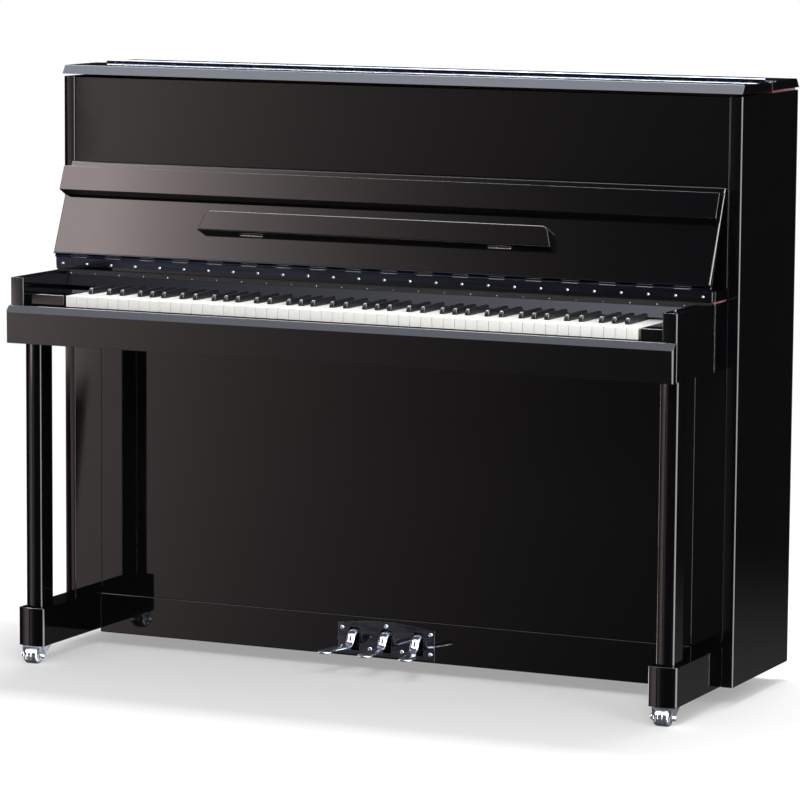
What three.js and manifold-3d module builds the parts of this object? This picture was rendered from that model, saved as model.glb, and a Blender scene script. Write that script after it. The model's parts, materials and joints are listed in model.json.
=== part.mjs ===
// Upright piano in black polyester, as an assembly of its separate pieces.
// Millimetres, +X to the player's right, +Y to the back, +Z up. While it is built, y = 0 is the plane of
// the case sides' front edges; the group at the end puts the origin on the floor under the box's middle.
import * as THREE from "three";
import { mergeVertices } from "three/addons/utils/BufferGeometryUtils.js";
import Module from "manifold-3d";

const wasm = await Module();
wasm.setup();

// ---- Case ----
const caseWidth = 1478; // over the two sides
const caseDepth = 313; // sides, front edge to back edge
const caseTop = 1178.5; // top edge of the sides above the floor
const caseBottom = 37; // bottom edge of the sides and toe blocks
const sideThickness = 25;
const edgeRadius = 3; // rounded polyester edges
const panelThickness = 20;
const panelFit = 0.5; // gap round a removable panel
const seat = 0.3; // gap between a piece and what carries it

// ---- Lid ----
const lidFelt = 5; // felt between the case and the lid
const lidThickness = 17.5;
const lidEndOverhang = 1;
const lidFrontOverhang = 4;
const lidBackOverhang = 4;
const frontLidDepth = 163;
const lidSplit = 2; // gap between the two halves
const lidFrontBevel = 11.5; // top edge stands back by this
const lidBackBevel = 15;
const lidHingeInset = 14; // hinge ends inside the lid's ends

// ---- Long hinges ----
const knuckleLength = 38;
const knuckleGap = 0.6;
const knuckleSides = 6;
const lidHingeRadius = 3;
const lidHingeRise = 2.3; // axis above the lid's top
const lidLeafWidth = 20;
const lidLeafThickness = 1.2;
const lidLeafSetback = 1; // leaf's edge from the lid's edge
const lidLeafRecess = 1.5;
const fallHingeRadius = 3.2;
const fallLeafThickness = 1.2;
const railLeafDrop = 20; // fixed leaf's height below the axis
const hingeRun = 0.4; // running gap between a knuckle and the other leaf

// ---- Keybed, arms, rail ----
const keybedUnderside = 658;
const keybedThickness = 32;
const keybedGap = 26; // keybed's back edge in front of the pin block
const armThickness = 30;
const armFront = 262; // projection in front of the sides
const armTop = 788;
const slipThickness = 19;
const slipTop = 733;
const slipBevel = 13;
const slipEndRadius = 4;
const railFelt = 3;
const railThickness = 21;
const railFront = 78;
const railBack = 24;
const nameBoardThickness = 18;
const nameBoardClear = 3; // foot of the name board above the white keys
const nameBoardInset = 2;
const nameBoardStrip = 11; // upright strip under the rail
const nameBoardReach = 16; // foot in front of the strip
const nameBoardEdge = 2; // height of the foot's blunt edge

// ---- Fallboard, lip and music shelf ----
const leanBack = 22.8; // open fallboard behind the vertical, degrees
const fallAxisForward = 3.5; // hinge axis in front of the rail
const fallAxisRise = 6; // hinge axis above the rail's top
const fallHeel = 3.2; // hinge leaf's outer face above the axis
const fallFace = 11.7; // board's face in front of the axis
const fallThickness = 16;
const fallLength = 196;
const fallEndGap = 1; // inside the plane of the arms' outer faces
const lipThickness = 25;
const lipTopInset = 16.1; // hinge edge of the lip below the board's top edge
const lipBackHeight = 56;
const lipTopSlant = 2.6;
const lipBottomSlant = 1.9;
const lipRodRadius = 2;
const lipGap = 0.4;
const shelfLength = 767; // along its hinge edge
const shelfTaper = 13.5; // each end slants in by this
const shelfHeight = 42;
const shelfThickness = 22;
const shelfLow = 55; // hinge edge above the board's lower end
const shelfHingeRadius = 2;
const shelfHingeLength = 48;
const shelfHingeSpread = 540; // between the two hinges' middles

// ---- Keyboard ----
const whiteCount = 52;
const keyboardMargin = 70.5; // room between the arms and the keys, mean of the two ends
const keyGap = 1;
const keyboardShift = 16.5; // keyboard's middle to the right of the case's middle
const keyFront = 244;
const keyTailGap = 30; // keys' back ends in front of the keybed's back edge
const whiteTop = 755;
const whiteHeight = 22;
const whiteHead = 50;
const blackWidth = 10;
const blackRise = 12;
const blackBackGap = 4; // black keys' back ends in front of the name board's foot
const blackFrontSlope = 5;
const blackFrontGap = 1.6; // white key's shoulder to the black key's front
const blackSpread = 3; // outer black keys lean away from the middle of their group
const balanceLine = 19; // in front of the sides' front plane
const balanceRidge = 6; // width of the balance rail's bearing edge
const balanceBevel = 6; // height of the slopes beside it
const keyDip = 10;
const railWidth = 34;
const crossMember = 14; // height of the key frame's cross members
const blockGap = 5; // key block to the nearest key
const linkWidth = 5; // bar that joins the keys of one note name
const linkHeight = 6;
const linkDrop = 9; // bar's top below the keys
const linkMargin = 12; // outermost bars from the white keys' heads and from the rails

// ---- Legs, toe blocks, lower case ----
const toeWidth = 58;
const toeTop = 115;
const toeFront = 239;
const toeRadius = 14;
const legWidth = 36;
const legDepth = 50;
const legSetback = 13;
const legRadius = 7;
const pilasterWidth = 61;
const toeRailBottom = 29.5;
const toeRailTop = 112;
const toeRailThickness = 25;
const bottomBoardThickness = 17;

// ---- Pedals ----
const pedalSpacing = 71;
const pedalWidth = 17;
const pedalReach = 112; // tongue tip in front of the plate
const tongueTop = 57;
const tongueThickness = 7;
const tongueWidth = 30;
const tongueToe = 30; // length of the tongue's broad end
const pedalTail = 22; // behind the axle
const tongueSplay = 18; // outer tongues bend outwards
const pedalAxisBack = 50;
const pedalAxisHeight = 78;
const pedalAxleRadius = 4;
const axleClearance = 0.4;
const shankHeight = 12;
const slotWidth = 23;
const slotBottom = 42;
const slotTop = 89;
const plateWidth = 214;
const plateBottom = 34;
const plateEndTop = 96;
const plateCrown = 9.5; // arched top above its ends
const plateThickness = 2.5;
const screwInset = 9; // from the plate's ends and top
const lowScrewRise = 13;
const screwRadius = 3.2;
const screwHead = 1.2;
const cheekThickness = 8;

// ---- Casters ----
const wheelSides = 16;
const casterWheelRadius = 17;
const casterWheelWidth = 30;
const casterTrail = 15;
const casterSetback = 27; // swivel axis behind the toe block's front
const forkThickness = 3;
const forkGap = 1.5;
const forkReach = 25.5; // fork's top plate either side of the swivel
const axleRadius = 3;
const axleEnd = 7; // axle past the fork's cheek
const stemRadius = 5;
const stemLength = 24;
const stemClearance = 0.5;
const rearWheelRadius = 22;
const rearWheelWidth = 18;
const rearPlateWidth = 60;
const rearPlateDepth = 64;
const rearCasterInset = 110;
const rearCasterForward = 45; // axle in front of the frame's back

// ---- Back frame, soundboard, iron frame ----
const frameBackInset = 4; // frame's back in front of the sides' back
const beamDepth = 104;
const topBeamHeight = 138.5; // below the sides' top
const bottomBeamBottom = 60;
const bottomBeamTop = 150;
const postWidth = 70;
const postDepth = 87;
const postCount = 5;
const shelfDepth = 19; // pin block and bottom shelf in front of the beams
const soundboardThickness = 9;
const soundboardBottom = 90;
const soundboardLap = 30; // soundboard's top above the top beam's underside
const ribCount = 9;
const ribWidth = 16;
const ribDepth = 14;
const ribSpread = 0.72; // share of the board the ribs are spread over, across and upwards
// ends of the two bridges, as shares of the board's half width and of its height
const bridges = [[-0.605, 0.214, 0.807, 0.806], [-0.173, 0.102, 0.605, 0.163]];
const bridgeWidth = 28;
const ironThickness = 10;
const ironBottom = 64;
const ironTopGap = 18.5; // below the sides' top
const ironSideInset = 34;
const ironBar = 30;
const ironTopWeb = 180;
const ironBottomWeb = 110;

// ---- Action and strings ----
const noteCount = 88;
const bassCount = 26;
const tenorCount = 58; // notes below the treble section
const courseMargin = 112; // outermost courses from the sides
const sectionGap = 28;
const stringClearance = 5.4; // treble strings in front of the iron frame
const bassClearance = 9.4;
const pinFieldDrop = 110.5; // lowest pins below the sides' top
const pinRows = 4;
const pinRowRise = 16;
const pressureBarDrop = 132.5; // below the sides' top
const pressureBarHeight = 10;
const pressureBarEnds = 12; // past the outermost courses
const centreRodEnds = 30; // past the last hammer
// heights as shares of the room from the keybed to the sides' top
const strikeShare = 0.614;
const hammerAxisShare = 0.3644;
const damperAxisShare = 0.3275;
const damperTopShare = 0.5015;
const hammerRailShare = [0.2375, 0.295];
const restRailShare = [0.524, 0.5568];
const bracketShare = { back: 0.205, front: 0.172, waist: 0.225, neck: 0.491, nose: 0.52 };
// depths as shares of the room from the upper panel's back to the iron frame's front
const hammerAxisDepth = 0.458;
const damperAxisDepth = 0.653;
const hammerReachDepth = 0.325;
const centreRadius = 3; // centre rods of the hammers and the dampers
const centreClearance = 0.4;
const hammerLean = 19; // degrees off the vertical, away from the strings
const hammerWidth = 8.5;
const damperCount = 68;
const damperWidth = 7;
const damperHeight = 42;
const restRailClearance = 1.4; // behind the shanks at rest
const restRailThickness = 11;
const bracketThickness = 8;
const bassLean = 0.42; // sideways run of a course for its height
const trebleLean = -0.12;
const bassDrop = 0.842; // lowest course's foot, as a share of the height from the iron frame's foot
const bassDropStep = 3;
const tenorDrop = 0.907;
const bassRadius = 1.6;
const trebleRadius = 0.8;

// ---- Derived places ----
const halfWidth = caseWidth / 2;
const inner = halfWidth - sideThickness;
const armInner = inner - armThickness;
const lidBottom = caseTop + lidFelt;
const lidTop = lidBottom + lidThickness;
const lidJoint = frontLidDepth - lidFrontOverhang + lidSplit / 2;
const lidAxisZ = lidTop + lidHingeRise;
const topBeamTop = lidBottom - seat;
const topBeamBottom = caseTop - topBeamHeight;
const soundboardTop = topBeamBottom + soundboardLap;
const ironTop = caseTop - ironTopGap;
const slipFront = armFront + slipThickness;
const railBottom = armTop + railFelt;
const railTop = railBottom + railThickness;
const nameBoardFront = -railFront + nameBoardInset;
const nameBoardFoot = nameBoardFront - nameBoardReach;
const fallAxisY = -railFront - fallAxisForward;
const fallAxisZ = railTop + fallAxisRise;
const keyBottom = whiteTop - whiteHeight;
const keybedTop = keybedUnderside + keybedThickness;
const inAction = (share) => keybedTop + share * (caseTop - keybedTop);
const strikeHeight = inAction(strikeShare);
const hammerAxisZ = inAction(hammerAxisShare);
const damperAxisZ = inAction(damperAxisShare);
const damperTop = inAction(damperTopShare);
const hammerShank = strikeHeight - hammerAxisZ - centreRadius;
const notePitch = (2 * (inner - courseMargin - sectionGap)) / (noteCount - 1);
const keyboardHalf = armInner - keyboardMargin;
const whitePitch = (2 * keyboardHalf) / whiteCount;
const keyboardLeft = keyboardShift - keyboardHalf;
const keyboardRight = keyboardShift + keyboardHalf;
const pilasterInner = inner - pilasterWidth;
const toeInner = inner - toeWidth;
const toeMiddle = inner - toeWidth / 2;
const frameBack = caseDepth - frameBackInset;
const beamFront = frameBack - beamDepth;
const swivelY = -toeFront + casterSetback;
const depthBack = caseDepth + lidBackOverhang;
const blockFront = beamFront - shelfDepth;
const keybedBack = blockFront - keybedGap;
const keyTail = keybedBack - keyTailGap;
const ironBack = blockFront - seat;
const pinBack = ironBack - ironThickness - seat;
const stringPlane = pinBack - stringClearance;
const bassPlane = pinBack - bassClearance;
const panelFront = 1.5; // upper panel behind the sides' front edges
const panelBack = panelFront + panelThickness;
const inDepth = (share) => panelBack + share * (pinBack - panelBack);
const hammerAxisY = inDepth(hammerAxisDepth);
const damperAxisY = inDepth(damperAxisDepth);
const hammerReach = hammerReachDepth * (pinBack - panelBack);

// ---- Finishes ----
const finish = (color, roughness, metalness) =>
  new THREE.MeshStandardMaterial({ color, roughness, metalness });
const blackPolyester = finish(0x0d0d0f, 0.08, 0);
const ivoryPlastic = finish(0xe8eae4, 0.35, 0);
const ebonyPlastic = finish(0x17171a, 0.4, 0);
const chrome = finish(0xc9ced6, 0.08, 1);
const steel = finish(0x8a9098, 0.25, 1);
const spruce = finish(0xc9a878, 0.6, 0);
const beech = finish(0xb98d60, 0.55, 0);
const bronze = finish(0xb08a45, 0.4, 0.8);
const redFelt = finish(0x8c1f26, 0.95, 0);
const whiteFelt = finish(0xe6e0d2, 0.95, 0);

// ---- Shape helpers ----
const piano = new THREE.Group();

function add(name, geometry, material) {
  const mesh = new THREE.Mesh(geometry, material);
  mesh.name = name;
  piano.add(mesh);
  return mesh;
}

function bare(geometry) {
  const g = geometry.index ? geometry.toNonIndexed() : geometry;
  g.deleteAttribute("normal");
  g.deleteAttribute("uv");
  return mergeVertices(g, 1e-4);
}

function box(x0, x1, y0, y1, z0, z1) {
  const g = new THREE.BoxGeometry(x1 - x0, y1 - y0, z1 - z0);
  return g.translate((x0 + x1) / 2, (y0 + y1) / 2, (z0 + z1) / 2);
}

function prism(points, length) {
  const shape = new THREE.Shape(points.map(([a, b]) => new THREE.Vector2(a, b)));
  return new THREE.ExtrudeGeometry(shape, { depth: length, bevelEnabled: false });
}

// outline in (y, z), carried along x
function alongX(points, x0, x1) {
  const m = new THREE.Matrix4().set(0, 0, 1, x0, 1, 0, 0, 0, 0, 1, 0, 0, 0, 0, 0, 1);
  return prism(points, x1 - x0).applyMatrix4(m);
}

// outline in (x, z), carried along y
function alongY(points, y0, y1) {
  const m = new THREE.Matrix4().set(1, 0, 0, 0, 0, 0, -1, y1, 0, 1, 0, 0, 0, 0, 0, 1);
  return prism(points, y1 - y0).applyMatrix4(m);
}

// outline in (x, y), carried up
const alongZ = (points, z0, z1) => prism(points, z1 - z0).translate(0, 0, z0);

// round bar along x
function rod(radius, x0, x1, y, z, sides = knuckleSides) {
  const g = new THREE.CylinderGeometry(radius, radius, x1 - x0, sides);
  return g.rotateZ(Math.PI / 2).translate((x0 + x1) / 2, y, z);
}

// plan outline of a board whose front corners are rounded; left and right radii may differ
function roundedFront(x0, x1, y0, y1, leftRadius, rightRadius, steps = 4) {
  const points = [];
  for (let i = 0; i <= steps; i++) {
    const a = Math.PI + (i / steps) * (Math.PI / 2);
    points.push([x0 + leftRadius * (1 + Math.cos(a)), y0 + leftRadius * (1 + Math.sin(a))]);
  }
  for (let i = 0; i <= steps; i++) {
    const a = -Math.PI / 2 + (i / steps) * (Math.PI / 2);
    points.push([x1 - rightRadius * (1 - Math.cos(a)), y0 + rightRadius * (1 + Math.sin(a))]);
  }
  points.push([x1, y1], [x0, y1]);
  return points;
}

function toSolid(geometry) {
  const g = bare(geometry);
  const mesh = new wasm.Mesh({
    numProp: 3,
    vertProperties: new Float32Array(g.attributes.position.array),
    triVerts: new Uint32Array(g.index.array),
  });
  return new wasm.Manifold(mesh);
}

function toGeometry(solid) {
  const mesh = solid.getMesh();
  const g = new THREE.BufferGeometry();
  g.setAttribute("position", new THREE.BufferAttribute(new Float32Array(mesh.vertProperties), 3));
  g.setIndex(new THREE.BufferAttribute(new Uint32Array(mesh.triVerts), 1));
  return g;
}

const join = (...parts) => toGeometry(parts.flat(Infinity).map(toSolid).reduce((a, b) => a.add(b)));
const cut = (base, ...tools) =>
  toGeometry(tools.flat(Infinity).map(toSolid).reduce((a, b) => a.subtract(b), toSolid(base)));

const sides = [-1, 1];
const sideName = (side) => (side < 0 ? "left" : "right");
const span = (side, a, b) => (side < 0 ? [-b, -a] : [a, b]); // a < b, measured outwards from the middle
const degrees = THREE.MathUtils.degToRad;

// ---- Case sides, pilasters, legs and toe blocks ----
for (const side of sides) {
  const [x0, x1] = span(side, inner, halfWidth);
  const [p0, p1] = span(side, pilasterInner, inner);
  const outline = roundedFront(x0, x1, 0, caseDepth, edgeRadius, edgeRadius, 3);
  add(`${sideName(side)}_side`, join(
    alongZ(outline, caseBottom, caseTop), box(p0, p1, 0, panelThickness, toeTop, keybedUnderside),
  ), blackPolyester);
}

for (const side of sides) {
  const [x0, x1] = span(side, toeInner, inner);
  const outline = roundedFront(x0, x1, -toeFront, toeRailThickness, toeRadius, toeRadius, 5);
  const block = alongZ(outline, caseBottom, toeTop);
  const boreRadius = stemRadius + stemClearance;
  const bore = new THREE.CylinderGeometry(boreRadius, boreRadius, stemLength + 2, 12);
  bore.rotateX(Math.PI / 2).translate(side * toeMiddle, swivelY, caseBottom + stemLength / 2);
  add(`${sideName(side)}_toe_block`, cut(block, bore), blackPolyester);
}

for (const side of sides) {
  const front = -toeFront + legSetback;
  const [x0, x1] = span(side, toeMiddle - legWidth / 2, toeMiddle + legWidth / 2);
  const shape = new THREE.Shape();
  const [w, d, r] = [legWidth, legDepth, legRadius];
  shape.moveTo(r, 0).lineTo(w - r, 0).absarc(w - r, r, r, -Math.PI / 2, 0).lineTo(w, d - r);
  shape.absarc(w - r, d - r, r, 0, Math.PI / 2).lineTo(r, d).absarc(r, d - r, r, Math.PI / 2, Math.PI);
  shape.lineTo(0, r).absarc(r, r, r, Math.PI, 1.5 * Math.PI);
  const height = keybedUnderside - toeTop;
  const leg = new THREE.ExtrudeGeometry(shape, { depth: height, bevelEnabled: false, curveSegments: 3 });
  add(`${sideName(side)}_leg`, leg.translate(x0, front, toeTop), blackPolyester);
}

// ---- Arms, key slip, keybed and key blocks ----
for (const side of sides) {
  const [x0, x1] = span(side, armInner, inner);
  const outline = roundedFront(x0, x1, -armFront, keybedBack, edgeRadius, edgeRadius, 3);
  add(`${sideName(side)}_arm`, alongZ(outline, keybedUnderside, armTop), blackPolyester);
}

const slipOutline = roundedFront(-inner, inner, -slipFront, -armFront, slipEndRadius, slipEndRadius, 3);
const slipBody = alongZ(slipOutline, keybedUnderside, slipTop);
const slipCorner = alongX([
  [-slipFront - 1, slipTop - slipBevel - 1], [-slipFront + slipBevel + 1, slipTop + 1],
  [-slipFront - 1, slipTop + 1],
], -inner - 1, inner + 1);
add("key_slip", cut(slipBody, slipCorner), blackPolyester);

add("keybed", box(-armInner, armInner, -armFront, keybedBack, keybedUnderside, keybedTop), blackPolyester);

const keyBlock = (x0, x1) => box(x0, x1, -keyFront, -balanceLine, keybedTop, whiteTop);
add("left_key_block", keyBlock(-armInner, keyboardLeft - blockGap), blackPolyester);
add("right_key_block", keyBlock(keyboardRight + blockGap, armInner), blackPolyester);

// ---- Fallboard rail with the name board under it ----
const nameBoardBottom = whiteTop + nameBoardClear;
const nameBoard = alongX([
  [nameBoardFront, railBottom + 1], [nameBoardFront, railBottom - nameBoardStrip],
  [nameBoardFoot, nameBoardBottom + nameBoardEdge], [nameBoardFoot, nameBoardBottom],
  [nameBoardFront + nameBoardThickness, nameBoardBottom],
  [nameBoardFront + nameBoardThickness, railBottom + 1],
], -armInner + seat, armInner - seat);
add("fallboard_rail", join(
  box(-inner + seat, inner - seat, -railFront, railBack, railBottom, railTop), nameBoard,
), blackPolyester);

// ---- Panels ----
add("upper_panel", box(-inner + panelFit, inner - panelFit, panelFront, panelBack,
  railTop, caseTop - panelFront), blackPolyester);
add("lower_panel", box(-pilasterInner + panelFit, pilasterInner - panelFit, 0, panelThickness,
  toeRailTop, keybedUnderside - panelFit), blackPolyester);

// ---- Felts on the arms, under the rail ----
for (const side of sides) {
  const [x0, x1] = span(side, armInner + 1, inner - 1);
  add(`${sideName(side)}_rail_felt`, box(x0, x1, -railFront + 8, -1, armTop, railBottom), redFelt);
}

// ---- Long hinges: two leaves whose knuckles take turns along the axis ----
// place maps (from the axis along the leaf, off the leaf's plane) to (y, z)
function hingeLeaf({ half, radius, leafFrom, leafTo, planeFrom, planeTo, place, first }) {
  const count = Math.floor((2 * half) / knuckleLength);
  const pitch = (2 * half) / count;
  const strip = (x0, x1, a0, a1) => alongX(
    [[a0, planeFrom], [a1, planeFrom], [a1, planeTo], [a0, planeTo]].map(([a, b]) => place(a, b)), x0, x1);
  const parts = [strip(-half, half, leafFrom, leafTo)];
  for (let i = first; i < count; i += 2) {
    const x0 = -half + i * pitch + knuckleGap / 2;
    const x1 = x0 + pitch - knuckleGap;
    parts.push(strip(x0, x1, 0, leafFrom + 0.5), rod(radius, x0, x1, ...place(0, 0)));
  }
  return join(parts);
}

const fallHalf = inner - fallEndGap;
const up = degrees(90 - leanBack);
const along = [Math.cos(up), Math.sin(up)]; // up the open board, in (y, z)
const out = [-Math.sin(up), Math.cos(up)]; // out of its face
// a point of the open board, from the hinge axis: s up the board, n out of its face
const boardPoint = (s, n) => [
  fallAxisY + s * along[0] + n * out[0],
  fallAxisZ + s * along[1] + n * out[1],
];

add("fallboard_hinge_fixed_leaf", hingeLeaf({
  half: fallHalf,
  radius: fallHingeRadius,
  leafFrom: fallHingeRadius + hingeRun,
  leafTo: railLeafDrop,
  planeFrom: fallAxisForward - fallLeafThickness,
  planeTo: fallAxisForward,
  place: (a, b) => [fallAxisY + b, fallAxisZ - a],
  first: 0,
}), steel);
add("fallboard_hinge_moving_leaf", hingeLeaf({
  half: fallHalf,
  radius: fallHingeRadius,
  leafFrom: fallHingeRadius + hingeRun,
  leafTo: fallFace - 0.5,
  planeFrom: fallHeel - fallLeafThickness,
  planeTo: fallHeel,
  place: (a, b) => boardPoint(b, a),
  first: 1,
}), steel);

// ---- Fallboard ----
const fallTop = fallHeel + seat + fallLength;
const lipHinge = fallTop - lipTopInset;
const groove = lipRodRadius + lipGap;
const boardBack = fallFace - fallThickness;
const boardFoot = fallHeel + seat;
add("fallboard", alongX([
  [boardFoot, boardBack], [boardFoot, fallFace], [lipHinge - groove, fallFace],
  [lipHinge - groove, fallFace - groove], [lipHinge + groove, fallFace - groove],
  [lipHinge + groove, fallFace], [fallTop, fallFace], [fallTop, boardBack],
].map(([s, n]) => boardPoint(s, n)), -fallHalf, fallHalf), blackPolyester);

// folding lip, hinged along its upper inner edge on a rod let into the board
const lipInner = fallFace + lipGap;
const lipOuter = lipInner + lipThickness;
const lipFoot = lipHinge - lipBackHeight;
add("fallboard_lip", join(
  alongX([
    [lipFoot, lipInner], [lipFoot + lipBottomSlant, lipOuter],
    [lipHinge - lipGap - lipTopSlant, lipOuter], [lipHinge - lipGap, lipInner],
  ].map(([s, n]) => boardPoint(s, n)), -fallHalf, fallHalf),
  rod(lipRodRadius, -fallHalf, fallHalf, ...boardPoint(lipHinge, fallFace)),
), blackPolyester);

// ---- Music shelf: a flap with slanted ends on two small hinges ----
const shelfS = boardFoot + shelfLow;
const shelfN = fallFace + seat;
const shelfFlap = prism([
  [-shelfLength / 2, 0], [shelfLength / 2, 0],
  [shelfLength / 2 - shelfTaper, shelfHeight], [-shelfLength / 2 + shelfTaper, shelfHeight],
], shelfThickness);
const [shelfY, shelfZ] = boardPoint(shelfS, shelfN);
shelfFlap.applyMatrix4(new THREE.Matrix4().set(
  1, 0, 0, 0, 0, along[0], out[0], shelfY, 0, along[1], out[1], shelfZ, 0, 0, 0, 1));
const shelfAxis = boardPoint(shelfS - 0.8 * shelfHingeRadius, fallFace + shelfHingeRadius + seat);
add("music_shelf", join(shelfFlap, sides.map((side) => {
  const middle = (side * shelfHingeSpread) / 2;
  return rod(shelfHingeRadius, middle - shelfHingeLength / 2, middle + shelfHingeLength / 2, ...shelfAxis);
})), blackPolyester);

// ---- Lid ----
const lidHalf = halfWidth + lidEndOverhang;
const recessZ = lidTop - lidLeafRecess;
const frontEdge = -lidFrontOverhang;
const frontLidBack = lidJoint - lidSplit / 2;
const rearLidFront = lidJoint + lidSplit / 2;
add("front_lid", alongX([
  [frontEdge, lidBottom], [frontLidBack, lidBottom], [frontLidBack, recessZ],
  [lidJoint - lidLeafWidth - seat, recessZ], [lidJoint - lidLeafWidth - seat, lidTop],
  [frontEdge + lidFrontBevel, lidTop],
], -lidHalf, lidHalf), blackPolyester);
add("rear_lid", alongX([
  [rearLidFront, lidBottom], [depthBack, lidBottom], [depthBack - lidBackBevel, lidTop],
  [lidJoint + lidLeafWidth + seat, lidTop], [lidJoint + lidLeafWidth + seat, recessZ],
  [rearLidFront, recessZ],
], -lidHalf, lidHalf), blackPolyester);

const lidHingeHalf = lidHalf - lidHingeInset;
const lidLeaf = (direction, first) => hingeLeaf({
  half: lidHingeHalf,
  radius: lidHingeRadius,
  leafFrom: lidSplit / 2 + lidLeafSetback,
  leafTo: lidLeafWidth,
  planeFrom: recessZ - lidAxisZ,
  planeTo: recessZ - lidAxisZ + lidLeafThickness,
  place: (a, b) => [lidJoint + direction * a, lidAxisZ + b],
  first,
});
add("lid_hinge_fixed_leaf", lidLeaf(1, 0), steel);
add("lid_hinge_moving_leaf", lidLeaf(-1, 1), steel);

// ---- Keys: one piece for each note name, with that note's key in every octave on a bar underneath ----
const noteNames = [
  "a", "a_sharp", "b", "c", "c_sharp", "d", "d_sharp", "e", "f", "f_sharp", "g", "g_sharp",
];
const isBlack = (note) => noteNames[note % 12].endsWith("sharp");
const blackLean = { a_sharp: 1, c_sharp: -1, d_sharp: 1, f_sharp: -1, g_sharp: 0 };
const keys = [];
let whitesBefore = 0;
for (let note = 0; note < noteCount; note++) {
  const name = noteNames[note % 12];
  const x = keyboardLeft + whitesBefore * whitePitch;
  if (isBlack(note)) {
    keys.push({ note, black: true, middle: x + blackSpread * blackLean[name] });
  } else {
    keys.push({ note, black: false, left: x + keyGap / 2, right: x + whitePitch - keyGap / 2 });
    whitesBefore += 1;
  }
}

const tailClear = blackWidth / 2 + keyGap;
const besideBlack = (key) => key && key.black;
for (const key of keys.filter(({ black }) => !black)) {
  const [below, above] = [keys[key.note - 1], keys[key.note + 1]];
  key.tailLeft = besideBlack(below) ? below.middle + tailClear : key.left;
  key.tailRight = besideBlack(above) ? above.middle - tailClear : key.right;
  key.middle = (key.tailLeft + key.tailRight) / 2;
}

function whiteKey({ left, right, tailLeft, tailRight }) {
  const shoulder = -keyFront + whiteHead;
  const points = [[left, -keyFront], [right, -keyFront]];
  if (tailRight < right) points.push([right, shoulder], [tailRight, shoulder]);
  points.push([tailRight, keyTail], [tailLeft, keyTail]);
  if (tailLeft > left) points.push([tailLeft, shoulder], [left, shoulder]);
  return alongZ(points, keyBottom, whiteTop);
}

function blackKey({ middle }) {
  const front = -keyFront + whiteHead + blackFrontGap;
  const back = nameBoardFoot - blackBackGap;
  const top = whiteTop + blackRise;
  return alongX([
    [front, keyBottom], [keyTail, keyBottom], [keyTail, whiteTop], [back, whiteTop],
    [back, top], [front + blackFrontSlope, top], [front, whiteTop],
  ], middle - blackWidth / 2, middle + blackWidth / 2);
}

const linkTop = keyBottom - linkDrop;
function linkedKeys(index) {
  const mine = keys.filter((key) => key.note % 12 === index);
  const before = noteNames.slice(0, index);
  const place = before.filter((name) => name.endsWith("sharp") === mine[0].black).length;
  const [front, back] = mine[0].black
    ? [-balanceLine + railWidth / 2, keyTail - railWidth]
    : [-keyFront + whiteHead, -balanceLine - railWidth / 2];
  const step = (back - front - 2 * linkMargin) / (mine[0].black ? 4 : 6);
  const y = front + linkMargin + place * step;
  const [y0, y1] = [y - linkWidth / 2, y + linkWidth / 2];
  const stem = ({ middle }) => box(
    middle - linkWidth / 2, middle + linkWidth / 2, y0, y1, linkTop - linkHeight, keyBottom + 1);
  const bar = box(mine[0].middle, mine.at(-1).middle, y0, y1, linkTop - linkHeight, linkTop);
  return join(mine.map((key) => (key.black ? blackKey(key) : whiteKey(key))), mine.map(stem), bar);
}

noteNames.forEach((name, index) => {
  add(`keys_${name}`, linkedKeys(index), isBlack(index) ? ebonyPlastic : ivoryPlastic);
});

// ---- Key frame: front, balance and back rails with cross members, on the keybed ----
const keyRail = (middle, top) => box(
  keyboardLeft, keyboardRight, middle - railWidth / 2, middle + railWidth / 2, keybedTop, top);
const frontRailMiddle = -keyFront + railWidth;
const ridgeTop = keyBottom - seat;
const balanceRail = alongX([
  [-balanceLine - railWidth / 2, keybedTop], [-balanceLine + railWidth / 2, keybedTop],
  [-balanceLine + railWidth / 2, ridgeTop - balanceBevel], [-balanceLine + balanceRidge / 2, ridgeTop],
  [-balanceLine - balanceRidge / 2, ridgeTop], [-balanceLine - railWidth / 2, ridgeTop - balanceBevel],
], keyboardLeft, keyboardRight);
const crossMembers = [0, 1, 2, 3, 4].map((i) => {
  const x = keyboardLeft + railWidth / 2 + (i * (2 * keyboardHalf - railWidth)) / 4;
  return box(x - railWidth / 2, x + railWidth / 2, frontRailMiddle, keyTail - railWidth / 2,
    keybedTop, keybedTop + crossMember);
});
add("key_frame", join(
  keyRail(frontRailMiddle, keyBottom - keyDip - 1.5), balanceRail,
  keyRail(keyTail - railWidth / 2, keyBottom - seat), crossMembers,
), beech);

// ---- Toe rail and bottom board ----
const pedals = [-1, 0, 1].map((place) => ({
  name: ["left_pedal", "middle_pedal", "right_pedal"][place + 1],
  x: place * pedalSpacing,
  splay: place * tongueSplay,
}));
const slots = (y0, y1) => pedals.map(({ x }) =>
  box(x - slotWidth / 2, x + slotWidth / 2, y0, y1, slotBottom, slotTop));
add("toe_rail", cut(
  box(-toeInner, toeInner, 0, toeRailThickness, toeRailBottom, toeRailTop), slots(-1, toeRailThickness + 1),
), blackPolyester);

// bottom board, with the cheeks that carry the pedals' axles
const boardTop = caseBottom + bottomBoardThickness;
const cheekTop = pedalAxisHeight + 14;
const axleHole = rod(pedalAxleRadius + axleClearance, -inner, inner, pedalAxisBack, pedalAxisHeight, 12);
const cheeks = [-1.5, -0.5, 0.5, 1.5].map((place) => {
  const x = place * pedalSpacing;
  const reach = 1.5 * cheekThickness;
  return box(x - reach, x + reach, pedalAxisBack - 14, pedalAxisBack + 14, boardTop - 1, cheekTop);
});
add("bottom_board", cut(join(
  box(-inner, inner, toeRailThickness + seat, beamFront, caseBottom, boardTop), cheeks), axleHole), beech);

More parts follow.
